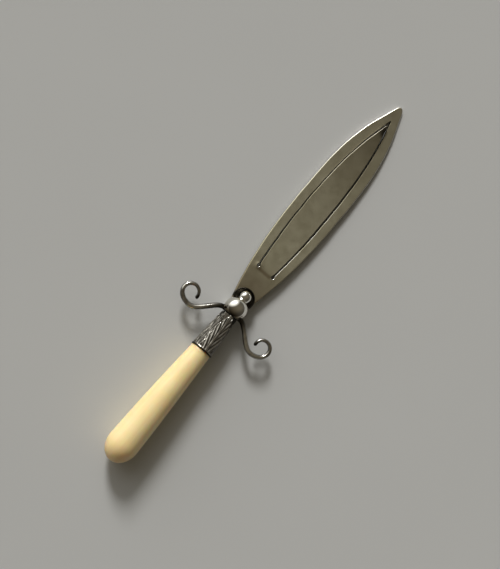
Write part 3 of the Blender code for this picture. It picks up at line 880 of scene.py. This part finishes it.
class Finish(NodeWork):
    """A material's nodes, with a colour laid on in coats. Places are the rest pose's, in metres."""

    def __init__(self, name, base):
        self.material = bpy.data.materials.new(name)
        self.material.use_nodes = True
        super().__init__(self.material.node_tree)
        self.shader = self.tree.nodes["Principled BSDF"]
        self.place = self.node("TexCoord", {}).outputs["Object"]
        self.colour = base

    def coat(self, share, tone):
        """Lays a colour over the earlier ones."""
        self.colour = self.mixed(share, self.colour, tone)

    def finished(self, **inputs):
        """The material, once the shader has its colour and its inputs, with underscores for spaces."""
        for key, value in {"Base_Color": self.colour, **inputs}.items():
            self.feed(self.shader.inputs[key.replace("_", " ")], value)
        return self.material

    def along(self, axis):
        return self.node("SeparateXYZ", {0: self.place}).outputs["XYZ".index(axis)]

    def near(self, point, full, none, most=1.0):
        """A share that is the most within one distance of a point and 0 past another."""
        distance = self.node("VectorMath", {0: self.place, 1: tuple(point)}, operation="DISTANCE")
        return self.rise(distance.outputs["Value"], none, full, most)

    def painted(self, name):
        """A value that the mesh carries on its vertices."""
        return self.node("Attribute", {}, attribute_name=name).outputs["Fac"]

    def stretched(self, scale, turn=0.0):
        """Places turned about Z and then scaled along each axis."""
        turning = {"Vector": self.place, "Rotation": (0.0, 0.0, turn)}
        scaling = {"Vector": self.node("Mapping", turning).outputs[0], "Scale": scale}
        return self.node("Mapping", scaling).outputs[0]

    def cloud(self, scale=1.0, detail=3.0, roughness=0.55, place=None):
        """Soft noise, mostly from 0.3 to 0.7."""
        inputs = {"Vector": place or self.place, "Scale": scale, "Detail": detail, "Roughness": roughness}
        return self.node("TexNoise", inputs).outputs[0]

    def uneven(self, cloud, least, most):
        """Noise, spread over a range of its own."""
        return self.ranged(cloud, 0.3, 0.7, least, most)

    def scratches(self, turns):
        """Fine hairlines in several directions, 1 in a scratch."""
        fineness, length, longer = 9000.0, 130.0, 40.0
        found = 0.0
        for index, turn in enumerate(turns):
            place = self.stretched((fineness, length + longer * index, fineness), turn)
            lines = self.cloud(detail=2.0, roughness=0.6, place=place)
            found = self.math("MAXIMUM", self.rise(lines, none=0.66, full=0.76), found)
        return found

    def bumped(self, pattern, height, strength):
        inputs = {"Height": pattern, "Distance": height, "Strength": strength}
        self.feed(self.shader.inputs["Normal"], self.node("Bump", inputs).outputs[0])


def sheet_silver(kit, here, name, deep_from, deep_to, painted_tip_shade=None):
    """Satin silver sheet, darker towards the tip, brown-tarnished towards the guard and finely scratched.

    It is black in the saw cuts, partly oxide and partly painted shade, and brown with painted shade in the fold.
    Its edges are bright, partly rubbed wear and partly painted highlight.
    """
    tones = kit.finish
    scratch_gloss, rub_gloss = 0.08, 0.38
    made = Finish(name, tones.toned_silver)
    fine = made.cloud(scale=500.0, detail=5.0, roughness=0.62)
    patches = made.weighed(made.cloud(scale=70.0), fine, share=0.3)
    made.coat(made.rise(patches, none=0.36, full=0.64), tones.clean_silver)
    near, far = (at_rest(here, along).y for along in (deep_from, deep_to))
    # Darker towards the tip of the blade and the apex of the tongue.
    made.coat(made.rise(made.along("Y"), none=near, full=far, most=0.9), tones.deep_silver)
    guard = at_rest(here, here.cup, here.blade_top)
    made.coat(made.near(guard, full=2.0 * MM, none=tones.guard_tarnish, most=0.7), tones.brown_tarnish)
    # Painted shade: brown across the fold at the tongue's root.
    across = made.rise(made.math("ABSOLUTE", made.along("X")), none=2.3 * MM, full=1.3 * MM, most=0.75)
    beside = made.math("ABSOLUTE", made.math("SUBTRACT", made.along("Y"), at_rest(here, here.fold).y))
    fold_shade = made.rise(beside, none=0.7 * kit.blade.crease_width, full=0.1 * MM)
    made.coat(made.math("MULTIPLY", across, fold_shade), tones.brown_tarnish)
    # Painted shade: the dark spot near the tongue's end.
    if painted_tip_shade:
        made.coat(made.near(here.rest @ painted_tip_shade, full=0.5 * MM, none=tones.painted_tip_shade_reach), tones.oxide)
    grime_shade_and_sheen = made.painted("grime_shade_and_sheen")
    # Black in the saw cuts: partly oxide, partly painted shade.
    made.coat(made.rise(grime_shade_and_sheen, none=0.0, full=0.4), tones.oxide)
    # Bright on the edges: partly rubbed wear, partly painted highlight.
    rubbed = made.rise(grime_shade_and_sheen, none=-0.02, full=-0.28)
    made.coat(rubbed, tones.bright_silver)
    lines = made.scratches(turns=(0.5, 1.2, -0.7))
    rough = made.uneven(fine, least=0.54, most=0.62)
    for gloss, share in ((scratch_gloss, lines), (rub_gloss, rubbed)):
        rough = made.math("SUBTRACT", rough, made.math("MULTIPLY", share, gloss))
    made.bumped(lines, height=0.002 * MM, strength=0.25)
    return made.finished(Metallic=1.0, Roughness=rough)


def polished_silver(kit, name, tone, smooth, rough):
    """Polished silver, a little uneven in tone, and its uneven gloss."""
    made = Finish(name, tone)
    fine = made.cloud(scale=900.0, detail=4.0, roughness=0.6)
    made.coat(made.rise(fine, none=0.35, full=0.75, most=0.45), kit.finish.worn_silver)
    return made, made.uneven(fine, smooth, rough)


def ball_silver(kit, here):
    """Polished silver, tarnished where the ball meets the ferrule, the arms and the blade."""
    tones, ball = kit.finish, kit.guard.ball_radius
    made, rough = polished_silver(
        kit, "bright_silver_ball", tones.bright_silver, smooth=0.035, rough=0.075
    )
    made.coat(made.near(at_rest(here, -ball), full=2.2 * MM, none=3.9 * MM), tones.brown_tarnish)
    made.coat(made.near(at_rest(here, -ball), full=1.9 * MM, none=2.7 * MM), tones.oxide)
    under = at_rest(here, ball, here.blade_top)
    made.coat(made.near(under, full=1.0 * MM, none=1.8 * MM), tones.brown_tarnish)
    return made.finished(Metallic=1.0, Roughness=rough)


def bead_silver(kit, here):
    """Polished silver, black at the foot of the bead."""
    tones = kit.finish
    made, rough = polished_silver(kit, "bright_silver_bead", tones.bright_silver, smooth=0.04, rough=0.08)
    dark, clean = (at_rest(here, here.bead, height).z for height in (-0.6 * MM, 0.1 * MM))
    made.coat(made.rise(made.along("Z"), none=clean, full=dark), tones.oxide)
    return made.finished(Metallic=1.0, Roughness=rough)


def wire_silver(kit, here):
    """Rubbed wire: black at the curls' ends, oxide and painted shade at the ball, painted shade on the flanks."""
    tones, ball = kit.finish, kit.guard.ball_radius
    made, rough = polished_silver(kit, "bright_silver_wire", tones.wire_silver, smooth=0.12, rough=0.22)
    # Black near the ball: partly oxide, partly painted shade.
    root = at_rest(here, here.arm_root)
    made.coat(made.near(root, full=ball, none=ball + tones.arm_oxide_and_shade), tones.oxide)
    made.coat(made.rise(made.cloud(scale=420.0), none=0.42, full=0.66, most=0.7), tones.grey_tarnish)
    # Flanks and underside darkened, top left bright: partly tarnish, partly painted shade.
    made.coat(made.rise(made.painted("crown"), none=0.9, full=0.45, most=0.72), tones.oxide)
    end = curl_point(kit.scrolls, here, kit.scrolls.curl_end)
    for side in (-1, +1):
        place = here.skewed @ Vector((side * end.x, end.y, 0.0))
        made.coat(made.near(place, full=0.5 * MM, none=1.5 * MM), tones.oxide)
    return made.finished(Metallic=1.0, Roughness=rough)


def oxidised_silver(kit, name):
    """Blackened silver, with a little brown showing through."""
    made = Finish(name, kit.finish.oxide)
    patches = made.cloud(scale=1500.0, detail=5.0, roughness=0.65)
    made.coat(made.rise(patches, none=0.58, full=0.78), kit.finish.brown_tarnish)
    made.bumped(made.cloud(scale=2600.0, detail=4.0), height=0.01 * MM, strength=0.4)
    rough = made.uneven(made.cloud(scale=1100.0, detail=4.0), least=0.34, most=0.52)
    return made.finished(Metallic=1.0, Roughness=rough)


def embossed_silver(kit, here):
    """Embossed silver, worn bright on the high leaves, black between them and, partly as painted shade, at the
    ball.
    """
    tones = kit.finish
    made = Finish("embossed_silver", tones.bright_silver)
    mottle = made.cloud(scale=1300.0, detail=4.0, roughness=0.6)
    hollow = made.math("ADD", made.painted("hollow"), made.uneven(mottle, least=-0.12, most=0.12))
    made.coat(made.rise(hollow, none=-0.05, full=0.2), tones.aged_silver)
    made.coat(made.rise(hollow, none=0.28, full=0.62), tones.grey_tarnish)
    made.coat(made.rise(hollow, none=0.52, full=0.9), tones.oxide)
    # Black at the front next to the ball: partly tarnish at the joint, partly painted shade in the gap.
    edge = -here.ferrule_front
    made.coat(made.near(at_rest(here, 0.0), full=edge + 0.1 * MM, none=edge + 0.7 * MM), tones.oxide)
    made.bumped(mottle, height=0.01 * MM, strength=0.25)
    rough = made.ranged(hollow, low=0.1, high=0.7, least=0.14, most=0.34)
    return made.finished(Metallic=1.0, Roughness=rough)


def turned_cream(kit, here):
    """Polished cream handle with faint lengthwise grain, toned ends and a soft gloss; the butt's amber is partly
    painted shade.

    Light passes a little way into it.
    """
    tones = kit.finish
    made = Finish("turned_cream", tones.cream)
    grain = made.cloud(detail=4.0, roughness=0.6, place=made.stretched((1500.0, 45.0, 1500.0)))
    streaks = made.weighed(grain, made.cloud(scale=160.0, detail=2.0), share=0.4)
    made.coat(made.rise(streaks, none=0.36, full=0.66), tones.pale_cream)
    along = made.along("Y")
    butt, mouth = (at_rest(here, end).y for end in (here.butt, here.shoulder))
    # Amber at the butt: toned ivory, made stronger as painted shade on the butt.
    made.coat(made.rise(along, none=butt + tones.butt_toning_and_shade, full=butt, most=0.6), tones.amber)
    made.coat(made.rise(along, none=mouth - tones.mouth_toning, full=mouth, most=0.5), tones.amber)
    made.bumped(grain, height=0.012 * MM, strength=0.25)
    return made.finished(
        Roughness=made.uneven(made.cloud(scale=700.0, detail=4.0), least=0.30, most=0.42),
        IOR=1.54,
        Subsurface_Weight=0.6,
        Subsurface_Radius=(1.0, 0.45, 0.18),
        Subsurface_Scale=1.8 * MM,
    )


def brown_cement(kit):
    """Gritty setting cement."""
    darkening = 0.55
    made = Finish("brown_cement", [part * darkening for part in kit.finish.cement])
    grit = made.cloud(scale=2400.0, detail=5.0, roughness=0.7)
    made.coat(grit, kit.finish.cement)
    made.bumped(grit, height=0.05 * MM, strength=0.5)
    return made.finished(Roughness=0.75)


def rod_silver(kit):
    """Drawn rod, with lines along it."""
    made = Finish("satin_silver_rod", kit.finish.aged_silver)
    drawn = made.cloud(roughness=0.6, place=made.stretched((6000.0, 90.0, 6000.0)))
    made.coat(drawn, kit.finish.worn_silver)
    return made.finished(Metallic=1.0, Roughness=made.uneven(drawn, least=0.25, most=0.45))


# Pieces


class BOOKMARK_OT_blade(Operator):
    """Blade: a leaf of silver sheet with a sawn window, drilled slot ends and worn edges"""

    bl_idname = "bookmark.blade"
    bl_label = "Blade"

    def execute(self, context):
        kit, here = plan(context)
        outlines = [blade_outline(kit, here), window_outline(kit.tongue, here)]
        shape = sheet(kit, here, outlines, sheet_waves(kit, here))
        deep_to = here.blade_tip + kit.finish.blade_toning
        material = sheet_silver(kit, here, "satin_silver_blade", here.hinge, deep_to)
        piece = add_piece("blade_sheet", shape, here.rest, material, "blade")
        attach(piece, "frame")
        return {"FINISHED"}


class BOOKMARK_OT_tongue(Operator):
    """Tongue: the springy lancet inside the slot"""

    bl_idname = "bookmark.tongue"
    bl_label = "Tongue"

    def execute(self, context):
        kit, here = plan(context)
        shape = sheet(kit, here, [tongue_outline(kit.tongue, here)], tongue_rise(kit, here))
        deep_from = here.slot_apex - kit.finish.tongue_toning
        # Place of the painted shade spot on the tongue.
        painted_tip_shade = Vector((0.0, here.slot_apex, here.blade_top)) + Vector(kit.finish.painted_tip_shade_place)
        material = sheet_silver(kit, here, "satin_silver_tongue", deep_from, here.slot_apex, painted_tip_shade)
        piece = add_piece("page_tongue_leaf", shape, here.rest, material, "page_tongue")
        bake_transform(piece)
        return {"FINISHED"}


class BOOKMARK_OT_guard(Operator):
    """Guard ball, the bead in front of it and the dark cup that the bead stands in"""

    bl_idname = "bookmark.guard"
    bl_label = "Ball, bead and cup"

    def execute(self, context):
        kit, here = plan(context)
        for build in (self.ball, self.bead, self.cup):
            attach(build(kit, here), "frame")
        return {"FINISHED"}

    def ball(self, kit, here):
        half_circle = arc((0.0, 0.0), kit.guard.ball_radius, -QUARTER, QUARTER, BALL_SIDES // 2)
        shape = turned(half_circle, BALL_SIDES)
        material = ball_silver(kit, here)
        return add_piece("polished_ball", shape, here.rest, material, "guard_ball")

    def bead(self, kit, here):
        shape = turned(self.bead_profile(kit.guard, here), BALL_SIDES)
        slice_off(shape, (0.0, here.bead, here.bead_bottom), (0.0, 0.0, -1.0))
        material = bead_silver(kit, here)
        return add_piece("polished_bead", shape, here.rest, material, "neck_bead")

    def bead_profile(self, guard, here):
        """(radius, along) of the bead, from its front to a fillet of solder that runs out on the ball."""
        ball, bead = guard.ball_radius, guard.bead_radius
        meet = (here.bead**2 + ball**2 - bead**2) / (2 * here.bead)
        corner = Vector((math.sqrt(ball**2 - meet**2), meet))
        leave = math.pi - math.atan2(corner.x, here.bead - meet) - guard.neck_fillet / bead
        land = math.atan2(corner.x, meet) + guard.neck_fillet / ball
        points = arc((0.0, here.bead), bead, QUARTER, QUARTER - leave, BEAD_STEPS)
        start, end = Vector(points[-1]), Vector((ball * math.sin(land), ball * math.cos(land)))
        for step in range(1, NECK_STEPS + 1):
            part = step / NECK_STEPS
            points.append(tuple(start.lerp(corner, part).lerp(corner.lerp(end, part), part)))
        back = end.y - 2 * guard.joint_gap
        return points + [(end.x - guard.neck_fillet, back), (0.0, back)]

    def cup(self, kit, here):
        """A shallow pan with a rounded rim, cut off where the ball fills it."""
        guard = kit.guard
        outer, bottom = here.cup_inner + guard.cup_wall, here.cup_bottom
        floor, rim = bottom + guard.cup_floor, bottom + guard.cup_height
        bend = guard.cup_wall / 2
        profile = [(0.0, bottom), (outer - bend / 2, bottom), (outer, bottom + bend / 2)]
        profile += arc((outer - bend, rim - bend), bend, 0.0, math.pi, RIM_STEPS)
        profile += [(here.cup_inner, floor + bend), (here.cup_inner - bend / 3, floor + bend / 3)]
        profile += [(here.cup_inner - bend, floor), (0.0, floor)]
        shape = turned(profile, BALL_SIDES, upright=True, along_y=here.cup)
        slice_off(shape, (0.0, here.cup - guard.cup_back, 0.0), (0.0, -1.0, 0.0))
        material = oxidised_silver(kit, "oxidised_cup")
        return add_piece("oxidised_cup", shape, here.rest, material, "root_cup")


def curl_point(scrolls, here, turn):
    """Point on the curl: a spiral that closes in on its working radius."""
    extra = scrolls.curl_ease * math.exp(-(turn - scrolls.curl_start) / scrolls.curl_ease_angle)
    radius = scrolls.curl_radius + extra
    middle = Vector((scrolls.reach, here.arm_root - scrolls.drop))
    return middle + Vector((math.cos(turn), math.sin(turn))) * radius


def arm_route(scrolls, here):
    """(point, wire radius) along the right arm, from its seat in the ball to the curl's rounded end."""
    swell_span = (0.9, 1.0)
    root, tip = scrolls.root_diameter / 2, scrolls.tip_diameter / 2
    first = curl_point(scrolls, here, scrolls.curl_start)
    bearing = (curl_point(scrolls, here, scrolls.curl_start + math.radians(1)) - first).normalized()
    start = Vector((here.arm_exit, here.arm_root))
    pulls = (start + Vector((scrolls.root_pull, 0.0)), first - bearing * scrolls.curl_pull)
    route = [(start - Vector((scrolls.seat, 0.0)), root)]
    stem = interpolate_bezier(start, *pulls, first, STEM_STEPS + 1)
    route += [(point, root) for point in stem[:-1]]
    for step in range(CURL_STEPS + 1):
        part = step / CURL_STEPS
        turn = scrolls.curl_start + (scrolls.curl_end - scrolls.curl_start) * part
        swell = 1.0 + (scrolls.end_swell - 1.0) * smooth_step(part, *swell_span)
        route.append((curl_point(scrolls, here, turn), (root + (tip - root) * part) * swell))
    for radius, out in arc((0.0, 0.0), tip * scrolls.end_swell, 0.0, QUARTER, WIRE_END_STEPS)[1:]:
        turn = scrolls.curl_end + out / scrolls.curl_radius
        route.append((curl_point(scrolls, here, turn), radius))
    return route


class BOOKMARK_OT_scrolls(Operator):
    """Scrolled arms: a pair of tapered round wires, each bent into a curl with a rounded end"""

    bl_idname = "bookmark.scrolls"
    bl_label = "Scrolled arms"

    def execute(self, context):
        kit, here = plan(context)
        material = wire_silver(kit, here)
        for side, word in ((-1, "left"), (+1, "right")):
            shape = self.wire(kit.scrolls, arm_route(kit.scrolls, here), side)
            name = f"{word}_scroll_wire"
            piece = add_piece(name, shape, here.skewed, material, f"{word}_scroll")
            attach(piece, "frame")
        return {"FINISHED"}

    def wire(self, scrolls, route, side):
        """The hammered wire along a route. Crown is 1 along its top and -1 underneath."""
        hammer_step, side_step = 0.09, 5.0
        shape = bmesh.new()
        crown = shape.verts.layers.float.new("crown")
        points = [Vector((side * point.x, point.y)) for point, _ in route]
        rings = []
        for index, ((_, radius), left) in enumerate(zip(route, normals_along(points))):
            ring = []
            for step in range(WIRE_SIDES):
                turn = math.tau * step / WIRE_SIDES
                place = (hammer_step * index, math.cos(turn), math.sin(turn) + side_step * side)
                thick = radius * (1.0 + scrolls.hammering * noise.noise(place))
                out = points[index] + left * thick * math.cos(turn)
                vert = shape.verts.new((out.x, out.y, thick * math.sin(turn)))
                vert[crown] = math.sin(turn)
                ring.append(vert)
            rings.append(ring)
        skin(shape, rings)
        shape.faces.new(rings[0][::-1])
        return shape


class Leaf(NamedTuple):
    """A row of embossed leaves round the ferrule.

    Shift is a share of the space for one leaf. Root and length are shares of the ferrule's length.
    """

    shift: float
    narrowing: float
    root: float
    length: float
    height: float
    lobes: float
    sweep: float


LEAVES_ROUND = 3
LEAVES_TURN = 0.12
FRONT_LEAVES = Leaf(shift=0.0, narrowing=1.02, root=0.02, length=1.06, height=1.0, lobes=4.6, sweep=0.8)
BACK_LEAVES = Leaf(shift=0.5, narrowing=1.6, root=0.03, length=1.0, height=0.66, lobes=4.0, sweep=0.7)


def leaf_height(leaf, across, along):
    """Height, from 0 to 1, of one embossed leaf, or 0 outside it.

    Across runs from -1 to 1 and along from 0 at the leaf's root to 1 at its tip.
    """
    width, root_share, belly_shift, bluntness = 0.98, 0.12, 0.8, 0.7
    notch, notch_bluntness, first_lobe, vein_bend = 0.18, 0.6, 0.3, 0.75
    rim_width, rib_width, groove_out, lip_in = 0.16, 0.09, 0.2, 0.11
    vein_span, vein_sharpness, midrib_fade = (0.05, 0.22), 1.6, 0.5
    body, fall, vein_height, midrib_height = 0.36, 0.12, 0.5, 0.5
    groove_depth, lip_height, lowest = 0.12, 0.22, 0.02
    out = abs(across)
    phase = leaf.lobes * (along - leaf.sweep * out**vein_bend) + first_lobe
    lobe = phase - math.floor(phase)
    share = min(1.0, max(0.0, root_share + (1.0 - root_share) * along))
    half = width * math.sin(math.pi * share**belly_shift) ** bluntness
    half *= 1.0 - notch + notch * math.sin(math.pi * lobe) ** notch_bluntness
    if out >= half:
        return 0.0
    rim = smooth_step(half - out, 0.0, rim_width)
    vein = (0.5 + 0.5 * math.cos(math.tau * lobe)) ** vein_sharpness * smooth_step(out, *vein_span)
    midrib = bell(out, rib_width) * (1.0 - midrib_fade * along)
    height = body - fall * (out / half) ** 2 + vein_height * vein + midrib_height * midrib
    height -= groove_depth * bell(out - groove_out, rib_width)
    height += lip_height * bell(half - out - lip_in, rib_width)
    return max(lowest, min(1.0, rim * height))


def ferrule_leaves(turn, along):
    """Height, from 0 to 1, of the embossing at an angle from the top and a share from the mouth."""
    collar, collar_height = 0.045, 0.6
    sector = math.tau / LEAVES_ROUND
    heights = [collar_height * smooth_step(collar - along, 0.0, collar)]
    for leaf in (FRONT_LEAVES, BACK_LEAVES):
        offset = (turn - LEAVES_TURN + sector * (leaf.shift + 0.5)) % sector - sector / 2
        across = offset / (sector / 2) * leaf.narrowing
        heights.append(leaf.height * leaf_height(leaf, across, (along - leaf.root) / leaf.length))
    return max(heights)


class BOOKMARK_OT_ferrule(Operator):
    """Ferrule embossed with overlapping leaves, and the dark wire ring at its mouth"""

    bl_idname = "bookmark.ferrule"
    bl_label = "Ferrule and mouth ring"

    def execute(self, context):
        kit, here = plan(context)
        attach(self.tube(kit, here), "frame")
        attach(self.ring(kit, here), "frame")
        return {"FINISHED"}

    def tube(self, kit, here):
        """The embossed tube. Hollow is 0 on the highest leaves and 1 on the ground between them."""
        ferrule = kit.ferrule
        shape = bmesh.new()
        hollow = shape.verts.layers.float.new("hollow")
        rings = []

        def add_ring(along, sides):
            """A ring at a share from the mouth to the front, of (height, hollow) pairs for its sides."""
            y = here.ferrule_mouth + ferrule.length * along
            radius = ferrule.mouth_radius + (ferrule.front_radius - ferrule.mouth_radius) * along
            ring = []
            for side, (height, depth) in enumerate(sides):
                turn = math.tau * side / FERRULE_SIDES
                out = radius + height
                vert = shape.verts.new((out * math.sin(turn), y, out * math.cos(turn)))
                vert[hollow] = depth
                ring.append(vert)
            rings.append(ring)

        for row in range(FERRULE_ROWS + 1):
            sides = []
            for side in range(FERRULE_SIDES):
                spots = []
                for aside, ahead in CELL_SPOTS:
                    turn = math.tau * (side + aside) / FERRULE_SIDES
                    spots.append(ferrule_leaves(turn, (row + ahead) / FERRULE_ROWS))
                leaf = sum(spots) / len(spots)
                sides.append((ferrule.relief * (leaf - ferrule.relief_level), 1.0 - leaf))
            add_ring(row / FERRULE_ROWS, sides)
        for along in (1.0, 0.0):
            add_ring(along, [(-ferrule.wall, 0.0)] * FERRULE_SIDES)
        skin(shape, rings, closed=True)
        material = embossed_silver(kit, here)
        return add_piece("embossed_ferrule", shape, here.rest, material, "ferrule")

    def ring(self, kit, here):
        """A plain ring with a rounded outside."""
        ferrule = kit.ferrule
        inner = ferrule.mouth_radius - ferrule.wall
        bend = ferrule.ring_length / 2
        crest = ferrule.mouth_radius + ferrule.ring_proud - bend
        middle = (here.ring_front + here.ring_back) / 2
        profile = [(inner, here.ring_back)]
        profile += arc((crest, middle), bend, -QUARTER, QUARTER, RIM_STEPS)
        profile.append((inner, here.ring_front))
        shape = turned(profile, TURNED_SIDES, closed=True)
        # The ring is black: partly oxide, partly painted shade for the dark line at the ferrule's mouth.
        material = oxidised_silver(kit, "oxidised_ring_and_shade")
        return add_piece("mouth_ring_wire", shape, here.rest, material, "mouth_ring")


class BOOKMARK_OT_grip(Operator):
    """Turned cream handle with a spigot for the ferrule and a bore for the tang"""

    bl_idname = "bookmark.grip"
    bl_label = "Handle"

    def execute(self, context):
        kit, here = plan(context)
        shape = turned(self.inside(kit, here) + self.outside(kit.grip, here), TURNED_SIDES)
        self.wear(shape, kit.grip, here)
        material = turned_cream(kit, here)
        piece = add_piece("turned_handle", shape, here.rest, material, "handle_grip")
        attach(piece, "frame")
        return {"FINISHED"}

    def inside(self, kit, here):
        """The bore for the tang, from its end, and the spigot, up to the shoulder."""
        ferrule, gap = kit.ferrule, kit.guard.joint_gap
        bore = kit.grip.tang_radius + gap
        mouth = ferrule.mouth_radius - ferrule.wall - gap
        share = (here.ferrule_front - here.spigot) / ferrule.length
        front = ferrule.front_radius - ferrule.wall - gap
        return [
            (0.0, here.bore_end),
            (bore, here.bore_end),
            (bore, here.spigot),
            (front + (mouth - front) * share, here.spigot),
            (mouth, here.ferrule_mouth),
            (mouth, here.shoulder),
        ]

    def outside(self, grip, here):
        """The handle's outside, from its shoulder to its butt."""
        bend = grip.shoulder_round
        corner = (grip.front_radius - bend, here.shoulder - bend)
        points = arc(corner, bend, QUARTER, 0.0, SHOULDER_STEPS)[:-1]
        for step in range(TAPER_STEPS + 1):
            along = bend + (grip.taper_length - bend) * step / TAPER_STEPS
            share = along / grip.taper_length
            swell = (share + math.sin(share * QUARTER)) / 2
            radius = grip.front_radius + (grip.belly_radius - grip.front_radius) * swell
            points.append((radius, here.shoulder - along))
        stretch = grip.butt_length / grip.belly_radius
        return points + arc((0.0, here.belly), grip.belly_radius, 0.0, -QUARTER, BUTT_STEPS, stretch)[1:]

    def wear(self, shape, grip, here):
        """Makes the outside a little uneven."""
        across, along = 160.0, 90.0
        for vert in shape.verts:
            x, y, z = vert.co
            if y < here.shoulder - WELD and math.hypot(x, z) > grip.tang_radius * 2:
                swell = 1.0 + grip.unevenness * noise.noise((x * across, y * along, z * across))
                vert.co = (x * swell, y, z * swell)


class BOOKMARK_OT_core(Operator):
    """Tang and setting cement: the hidden solids keep their shape and get their finish"""

    bl_idname = "bookmark.core"
    bl_label = "Tang and cement"

    def execute(self, context):
        kit = context.scene.bookmark
        for node, material in (("tang", rod_silver(kit)), ("ferrule_cement", brown_cement(kit))):
            data = frame["nodes"][node].data
            data.materials.clear()
            data.materials.append(material)
        return {"FINISHED"}


# Stage


def heading(azimuth, elevation):
    """Unit vector at an azimuth from +Y towards -X and a height above the floor."""
    flat = math.cos(elevation)
    return Vector((-math.sin(azimuth) * flat, math.cos(azimuth) * flat, math.sin(elevation)))


class BOOKMARK_OT_stage(Operator):
    """Plain pale floor, a soft key light, a dim warm room above and the camera"""

    bl_idname = "bookmark.stage"
    bl_label = "Stage"

    def execute(self, context):
        scene, stage = context.scene, context.scene.bookmark.stage
        self.floor(scene, stage)
        self.room(scene, stage)
        self.key_light(scene, stage)
        self.camera(scene, stage)
        scene.view_settings.view_transform = "Standard"
        return {"FINISHED"}

    def floor(self, scene, stage):
        paler = 1.03
        shape = bmesh.new()
        bmesh.ops.create_grid(shape, x_segments=1, y_segments=1, size=stage.floor_reach)
        mesh = bpy.data.meshes.new("pale_floor")
        shape.to_mesh(mesh)
        shape.free()
        made = Finish("pale_floor", stage.floor_colour)
        made.coat(made.cloud(scale=35.0, detail=2.0), [part * paler for part in stage.floor_colour])
        mesh.materials.append(made.finished(Roughness=0.9, Specular_IOR_Level=0.2))
        floor = bpy.data.objects.new("pale_floor", mesh)
        scene.collection.objects.link(floor)

    def room(self, scene, stage):
        """Light by direction. Limits are its height, or its cosine with the glow's middle."""
        wall_top, ceiling_edge = 0.3, 0.9
        backdrop_top, backdrop_end = 0.06, 0.18
        far_side_full, far_side_end = -0.7, 0.1
        world = bpy.data.worlds.new("studio_room")
        world.use_nodes = True
        made = NodeWork(world.node_tree)
        direction = made.node("TexCoord", {}).outputs["Generated"]
        height = made.node("SeparateXYZ", {0: direction}).outputs[2]
        light = made.mixed(made.rise(height, wall_top, ceiling_edge), stage.side_light, stage.overhead)
        middle = heading(stage.glow_azimuth, stage.glow_elevation)
        facing = made.node("VectorMath", {0: direction, 1: middle}, operation="DOT_PRODUCT")
        towards = facing.outputs["Value"]
        light = made.mixed(made.rise(towards, far_side_end, far_side_full), light, stage.far_side)
        light = made.mixed(made.rise(height, backdrop_end, backdrop_top), light, stage.horizon)
        glow = [part * stage.glow_strength for part in stage.glow]
        light = made.mixed(made.rise(towards, math.cos(stage.glow_spread), 1.0), light, glow)
        made.feed(made.tree.nodes["Background"].inputs["Color"], light)
        scene.world = world

    def key_light(self, scene, stage):
        lamp = bpy.data.lights.new("soft_key", "SUN")
        lamp.energy = stage.key_strength
        lamp.angle = stage.key_spread
        holder = bpy.data.objects.new("soft_key", lamp)
        towards = heading(stage.key_azimuth, stage.key_elevation)
        holder.location = towards
        holder.rotation_euler = (-towards).to_track_quat("-Z", "Y").to_euler()
        scene.collection.objects.link(holder)

    def camera(self, scene, stage):
        data = bpy.data.cameras.new("camera")
        data.lens = stage.camera_lens
        data.sensor_width = FILM_WIDTH
        data.clip_start = NEAREST
        data.clip_end = FARTHEST
        camera = bpy.data.objects.new("camera", data)
        place, aim = Vector(stage.camera_place), Vector(stage.camera_aim)
        camera.location = place
        camera.rotation_mode = "QUATERNION"
        roll = Quaternion((0.0, 0.0, 1.0), stage.camera_roll)
        camera.rotation_quaternion = (aim - place).to_track_quat("-Z", "Y") @ roll
        scene.collection.objects.link(camera)
        scene.camera = camera


# Add-on


OPERATORS = (
    BOOKMARK_OT_blade,
    BOOKMARK_OT_tongue,
    BOOKMARK_OT_guard,
    BOOKMARK_OT_scrolls,
    BOOKMARK_OT_ferrule,
    BOOKMARK_OT_grip,
    BOOKMARK_OT_core,
    BOOKMARK_OT_stage,
)


class BOOKMARK_PT_panel(Panel):
    """Operators and settings of the bookmark"""

    bl_idname = "BOOKMARK_PT_panel"
    bl_label = "Dagger Bookmark"
    bl_space_type = "VIEW_3D"
    bl_region_type = "UI"
    bl_category = "Bookmark"

    def draw(self, context):
        kit = context.scene.bookmark
        for operator in OPERATORS:
            self.layout.operator(operator.bl_idname)
        for pointer in kit.bl_rna.properties:
            if pointer.type == "POINTER" and pointer.identifier != "rna_type":
                box = self.layout.box()
                box.label(text=pointer.name)
                settings = getattr(kit, pointer.identifier)
                for item in settings.bl_rna.properties:
                    if item.identifier not in ("rna_type", "name"):
                        box.prop(settings, item.identifier)


CLASSES = (
    BladeSizes,
    TongueSizes,
    GuardSizes,
    ScrollSizes,
    FerruleSizes,
    GripSizes,
    FinishSettings,
    StageSettings,
    BookmarkSettings,
    *OPERATORS,
    BOOKMARK_PT_panel,
)


def register():
    for item in CLASSES:
        bpy.utils.register_class(item)
    bpy.types.Scene.bookmark = group("Bookmark", BookmarkSettings)


def unregister():
    del bpy.types.Scene.bookmark
    for item in reversed(CLASSES):
        bpy.utils.unregister_class(item)


def main():
    register()
    for operator in OPERATORS:
        category, name = operator.bl_idname.split(".")
        getattr(getattr(bpy.ops, category), name)()


if __name__ == "__main__":
    main()
